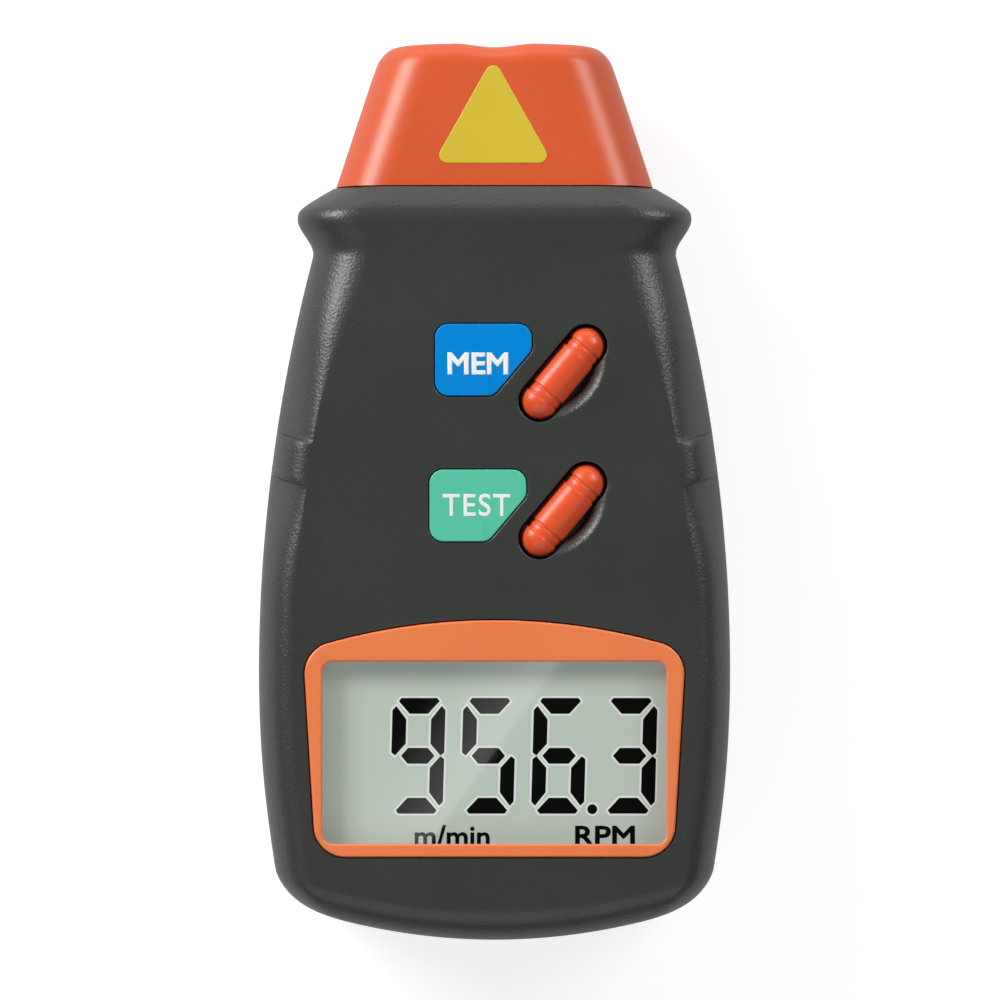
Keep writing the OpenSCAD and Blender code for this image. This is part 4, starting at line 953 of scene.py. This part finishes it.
# %% Inner plastics
INSIDE = {
    "black_plastic": (("#1c1c1e", 0.4, 2000.0, 0.00003), (
        "optics_holder", "receiver_tube", "battery_snap", "controller_chip", "memory_switch", "test_switch",
        "resistors")),
    "ivory_plastic": (("#d8d2c4", 0.4, 2000.0, 0.00002), ("memory_switch_stem", "test_switch_stem")),
    "frame_white": (("#e8e8e4", 0.4, 2000.0, 0.00002), ("lcd_frame",)),
    "strip_rubber": (("#d9c6a0", 0.7, 1200.0, 0.00003), ("contact_strips",)),
    "pad_foam": (("#3b3b3b", 0.9, 1500.0, 0.0003), ("battery_pad",)),
    "wire_red": (("#b3231c", 0.4, 2000.0, 0.00002), ("red_lead", "laser_leads")),
    "wire_black": (("#161616", 0.4, 2000.0, 0.00002), ("black_lead",)),
    "wire_yellow": (("#e2c33a", 0.4, 2000.0, 0.00002), ("receiver_leads",)),
    "battery_sleeve": (("#2d2f33", 0.3, 900.0, 0.00002), ("battery",)),
    "diode_red": (("#4a1d1d", 0.15, 900.0, 0.00001), ("photodiode",)),
    "can_sleeve": (("#26324d", 0.35, 900.0, 0.00002), ("capacitors",)),
}
for name, (recipe, pieces) in INSIDE.items():
    moulded(name, *recipe).dress(*[nodes[piece] for piece in pieces])
print("inner plastics:", len(INSIDE))

# %% [markdown]
# ## Metals, boards and clear pieces
# Screws and cans are bare metal, the boards are lacquered, and the window and lenses are clear. A refracting
# glass would darken what lies close behind it in a few bounces, so the clear pieces are a see-through shader
# with a mirror mixed in by the viewing angle.

# %% Metals, glass and boards
MARKS, MARKS_SHINE, MARKS_DARK = 3000.0, 0.15, 0.85
TRACKS, TRACK_W, TRACK_SOFT, TRACK_OFFSET = 260.0, 0.03, 0.2, 0.3
POLISH, GRAZE_POWER = 0.02, 5.0


def metal(name, screen, rough):
    """Bare metal with fine brushed marks in its roughness."""
    finish = Finish(name, Metallic=1.0)
    marks = finish.noise(MARKS, 2.0)
    finish.set(finish.shader, {
        "Base Color": finish.between(colour(screen, MARKS_DARK), colour(screen), marks),
        "Roughness": rough + MARKS_SHINE * (marks - 0.5),
    })
    return finish


def board(name):
    """Circuit board: green lacquer over copper tracks, which show as lighter lines."""
    finish = Finish(name)
    tracks = finish.node("ShaderNodeTexBrick", {"offset": TRACK_OFFSET}, {
        "Vector": finish.object_place(), "Scale": TRACKS, "Mortar Size": TRACK_W,
        "Mortar Smooth": TRACK_SOFT}, output=1)
    finish.set(finish.shader, {
        "Base Color": finish.between(colour("#2f7a4a"), colour("#4d9a5e"), tracks),
        "Roughness": 0.35 + 0.1 * tracks,
    })
    return finish


def clear(name, shine):
    """Clear plastic as a thin sheet: its mirror share is a base plus the rest times grazing to the fifth."""
    finish = Finish(name)
    see = finish.node("ShaderNodeBsdfTransparent")
    gloss = finish.node("ShaderNodeBsdfGlossy", {}, {"Roughness": POLISH})
    grazing = finish.node("ShaderNodeLayerWeight", {}, {"Blend": 0.5}, output="Facing")
    return finish.surface(finish.node("ShaderNodeMixShader", {}, {
        0: shine + (1 - shine) * grazing ** GRAZE_POWER, 1: see, 2: gloss}))


metal("steel", "#9a9c9f", 0.35).dress(nodes["case_screws"], nodes["board_screws"], nodes["crystal_can"])
metal("brass", "#b5974a", 0.3).dress(nodes["laser_barrel"], nodes["laser_diode"])
board("board_green").dress(nodes["main_board"], nodes["laser_board"], nodes["receiver_board"])
clear("clear_window", 0.045).dress(nodes["display_window"])
clear("lens_glass", 0.05).dress(nodes["laser_lens"], nodes["receiver_lens"], nodes["laser_window"])
print("materials:", len(bpy.data.materials))

# %% [markdown]
# ## Shading of the CAD pieces that stay
# A CAD mesh comes as loose facets, and smooth shading across them shows dark streaks. Welding its points,
# splitting the sharp edges and letting the flat faces lead the normals gives the clean look of a moulding
# without a change to its shape.

# %% Shading of the CAD nodes that stay
WELD = 2e-6
kept = [node for node in nodes.values() if not node.hide_render]
for node in kept:
    weld = node.modifiers.new("weld", "WELD")
    weld.merge_threshold = WELD
    split = node.modifiers.new("sharp edges", "EDGE_SPLIT")
    split.split_angle = np.radians(SHARP)
    node.data.shade_smooth()
    lead = node.modifiers.new("flat faces lead", "WEIGHTED_NORMAL")
    lead.keep_sharp = True
print("CAD nodes that stay:", len(kept))

# %% [markdown]
# ## Floor
# The meter lies on white paper. More lamp light would whiten the paper but wash out the meter, so the paper
# is a mid grey that keeps the shadow, and a glow that only the camera and mirrors see makes it white.

# %% Floor
FLOOR_HALF, FLOOR_GREY, FLOOR_ROUGH = 4.0, 0.48, 0.9
FLOOR_GLOW, MIRROR_GLOW = 0.75, 0.25
reach = FLOOR_HALF / MM
floor = mesh_object("floor", sheet(np.array([[(-reach, -reach, 0), (reach, -reach, 0)],
                                             [(-reach, reach, 0), (reach, reach, 0)]], float)))
grey = (FLOOR_GREY, FLOOR_GREY, FLOOR_GREY, 1)
paper = Finish("floor_paper", **{"Base Color": grey, "Roughness": FLOOR_ROUGH})
seen = paper.node("ShaderNodeLightPath", output="Is Camera Ray")
mirrored = paper.other(seen, "Is Glossy Ray") + paper.other(seen, "Is Transmission Ray")
glow = paper.node("ShaderNodeEmission", {}, {"Strength": FLOOR_GLOW * seen + MIRROR_GLOW * mirrored})
plain = Value(paper, paper.shader.outputs[0])
paper.surface(paper.node("ShaderNodeAddShader", {}, {0: plain, 1: glow})).dress(floor)
print("floor in m:", 2 * FLOOR_HALF)

# %% [markdown]
# ## World and soft boxes
# The long highlights on the flanks and the nose come from a soft box on each side, of which the left one is
# brighter. A broad dim box in front fills the face, and a low one behind lifts the collar. The world is dim
# near the floor and brighter above it, with a darker opening overhead that leans to the nose, so that the
# flat face stays dark.

# %% World and soft boxes
SKY_BAND = (0.05, 0.35, 0.12, 0.6)
SKY_HOLE = (0.6, 0.88, 0.0, 0.52)
HOLE_UP, HOLE_NORTH = 0.95, 0.31
EAST_FADE, NORTH_FADE = 0.5, 0.4
LAMPS = {
    "left_box": ((-0.61, 0.445, 0.48), (0.44, 0.32), 7.6),
    "right_box": ((0.61, 0.445, 0.48), (0.44, 0.32), 3.9),
    "front_box": ((0.0, -0.75, 0.7), (1.6, 0.9), 4.3),
    "back_box": ((0.0, 0.95, 0.12), (1.2, 0.36), 2.6),
}
LAMP_TARGET = (0, 0, 0.02)


def softbox(name, place, size, watts):
    """Area light at a place in metres, turned to the meter."""
    lamp = bpy.data.lights.new(name, "AREA")
    lamp.shape, lamp.size, lamp.size_y, lamp.energy = "RECTANGLE", *size, watts
    box = bpy.data.objects.new(name, lamp)
    box.location = place
    away = box.location - type(box.location)(LAMP_TARGET)
    box.rotation_euler = away.to_track_quat("Z", "Y").to_euler()
    bpy.context.scene.collection.objects.link(box)
    return box


def eased(tree, value, start, end, low, high):
    """Smooth step of a value: low up to the start, and high from the end."""
    settings = {"interpolation_type": "SMOOTHSTEP"}
    return tree.node("ShaderNodeMapRange", settings, {0: value, 1: start, 2: end, 3: low, 4: high})


world = bpy.data.worlds.new("studio")
bpy.context.scene.world = world
sky = Tree(world)
east = sky.node("ShaderNodeSeparateXYZ", {}, {0: sky.node("ShaderNodeTexCoord", output="Generated")})
north, up = sky.other(east, "Y"), sky.other(east, "Z")
band = eased(sky, up, *SKY_BAND)
hole = eased(sky, HOLE_UP * up + HOLE_NORTH * north, *SKY_HOLE)
fade = 1.0 - EAST_FADE * east - NORTH_FADE * north
sky.set(sky.tree.nodes["Background"], {"Strength": (band - hole) * fade})
for name, lamp in LAMPS.items():
    softbox(name, *lamp)
print("lamps:", len(LAMPS))

# %% [markdown]
# ## Card over the display
# A slanting reflection crosses the window, with one sharp edge and one that fades. A real card held above
# the display makes it in a studio, and so it does here: its glow falls off from its near edge to its far one.

# %% Card
CARD_Z = 1.0
CARD_EDGE = np.array([(26.7, -43.9), (-37.4, -132.3)])
CARD_WIDTH, CARD_GLOW = 27.0, 1.1
run = CARD_EDGE[1] - CARD_EDGE[0]
aside = np.array([run[1], -run[0]]) / np.linalg.norm(run) * CARD_WIDTH
corners = np.array([CARD_EDGE, CARD_EDGE + aside])
card = mesh_object("card", sheet(np.concatenate([corners, np.full((2, 2, 1), CARD_Z / MM)], axis=-1)))
glare = Finish("card_glow")
place_x = glare.node("ShaderNodeSeparateXYZ", {}, {0: glare.object_place()})
place_y = glare.other(place_x, "Y")
toward = aside / CARD_WIDTH ** 2 / MM
share = (place_x - CARD_EDGE[0, 0] * MM) * toward[0] + (place_y - CARD_EDGE[0, 1] * MM) * toward[1]
glare.surface(glare.node("ShaderNodeEmission", {}, {"Strength": CARD_GLOW * (1.0 - share)})).dress(card)
print("card length in mm:", round(np.linalg.norm(run), 1))

# %% [markdown]
# ## Camera
# The photograph looks straight down on the face from far away, so the camera has a long lens. Its height
# follows from the lens and from the width that the frame covers at the height of the widest outline.

# %% Camera
LENS, SENSOR, FRAME_MM = 200.0, 36.0, 146.37
OUTLINE_Z = 19.0
CAMERA_X, CAMERA_Y = 0.8, -1.4
camera = bpy.data.objects.new("camera", bpy.data.cameras.new("camera"))
camera.data.lens, camera.data.sensor_width = LENS, SENSOR
camera.location = (CAMERA_X * MM, CAMERA_Y * MM, (FRAME_MM * LENS / SENSOR + OUTLINE_Z) * MM)
bpy.context.scene.collection.objects.link(camera)
bpy.context.scene.camera = camera
bpy.context.scene.view_settings.view_transform = "Standard"
print("camera height in m:", round(camera.location.z, 3))
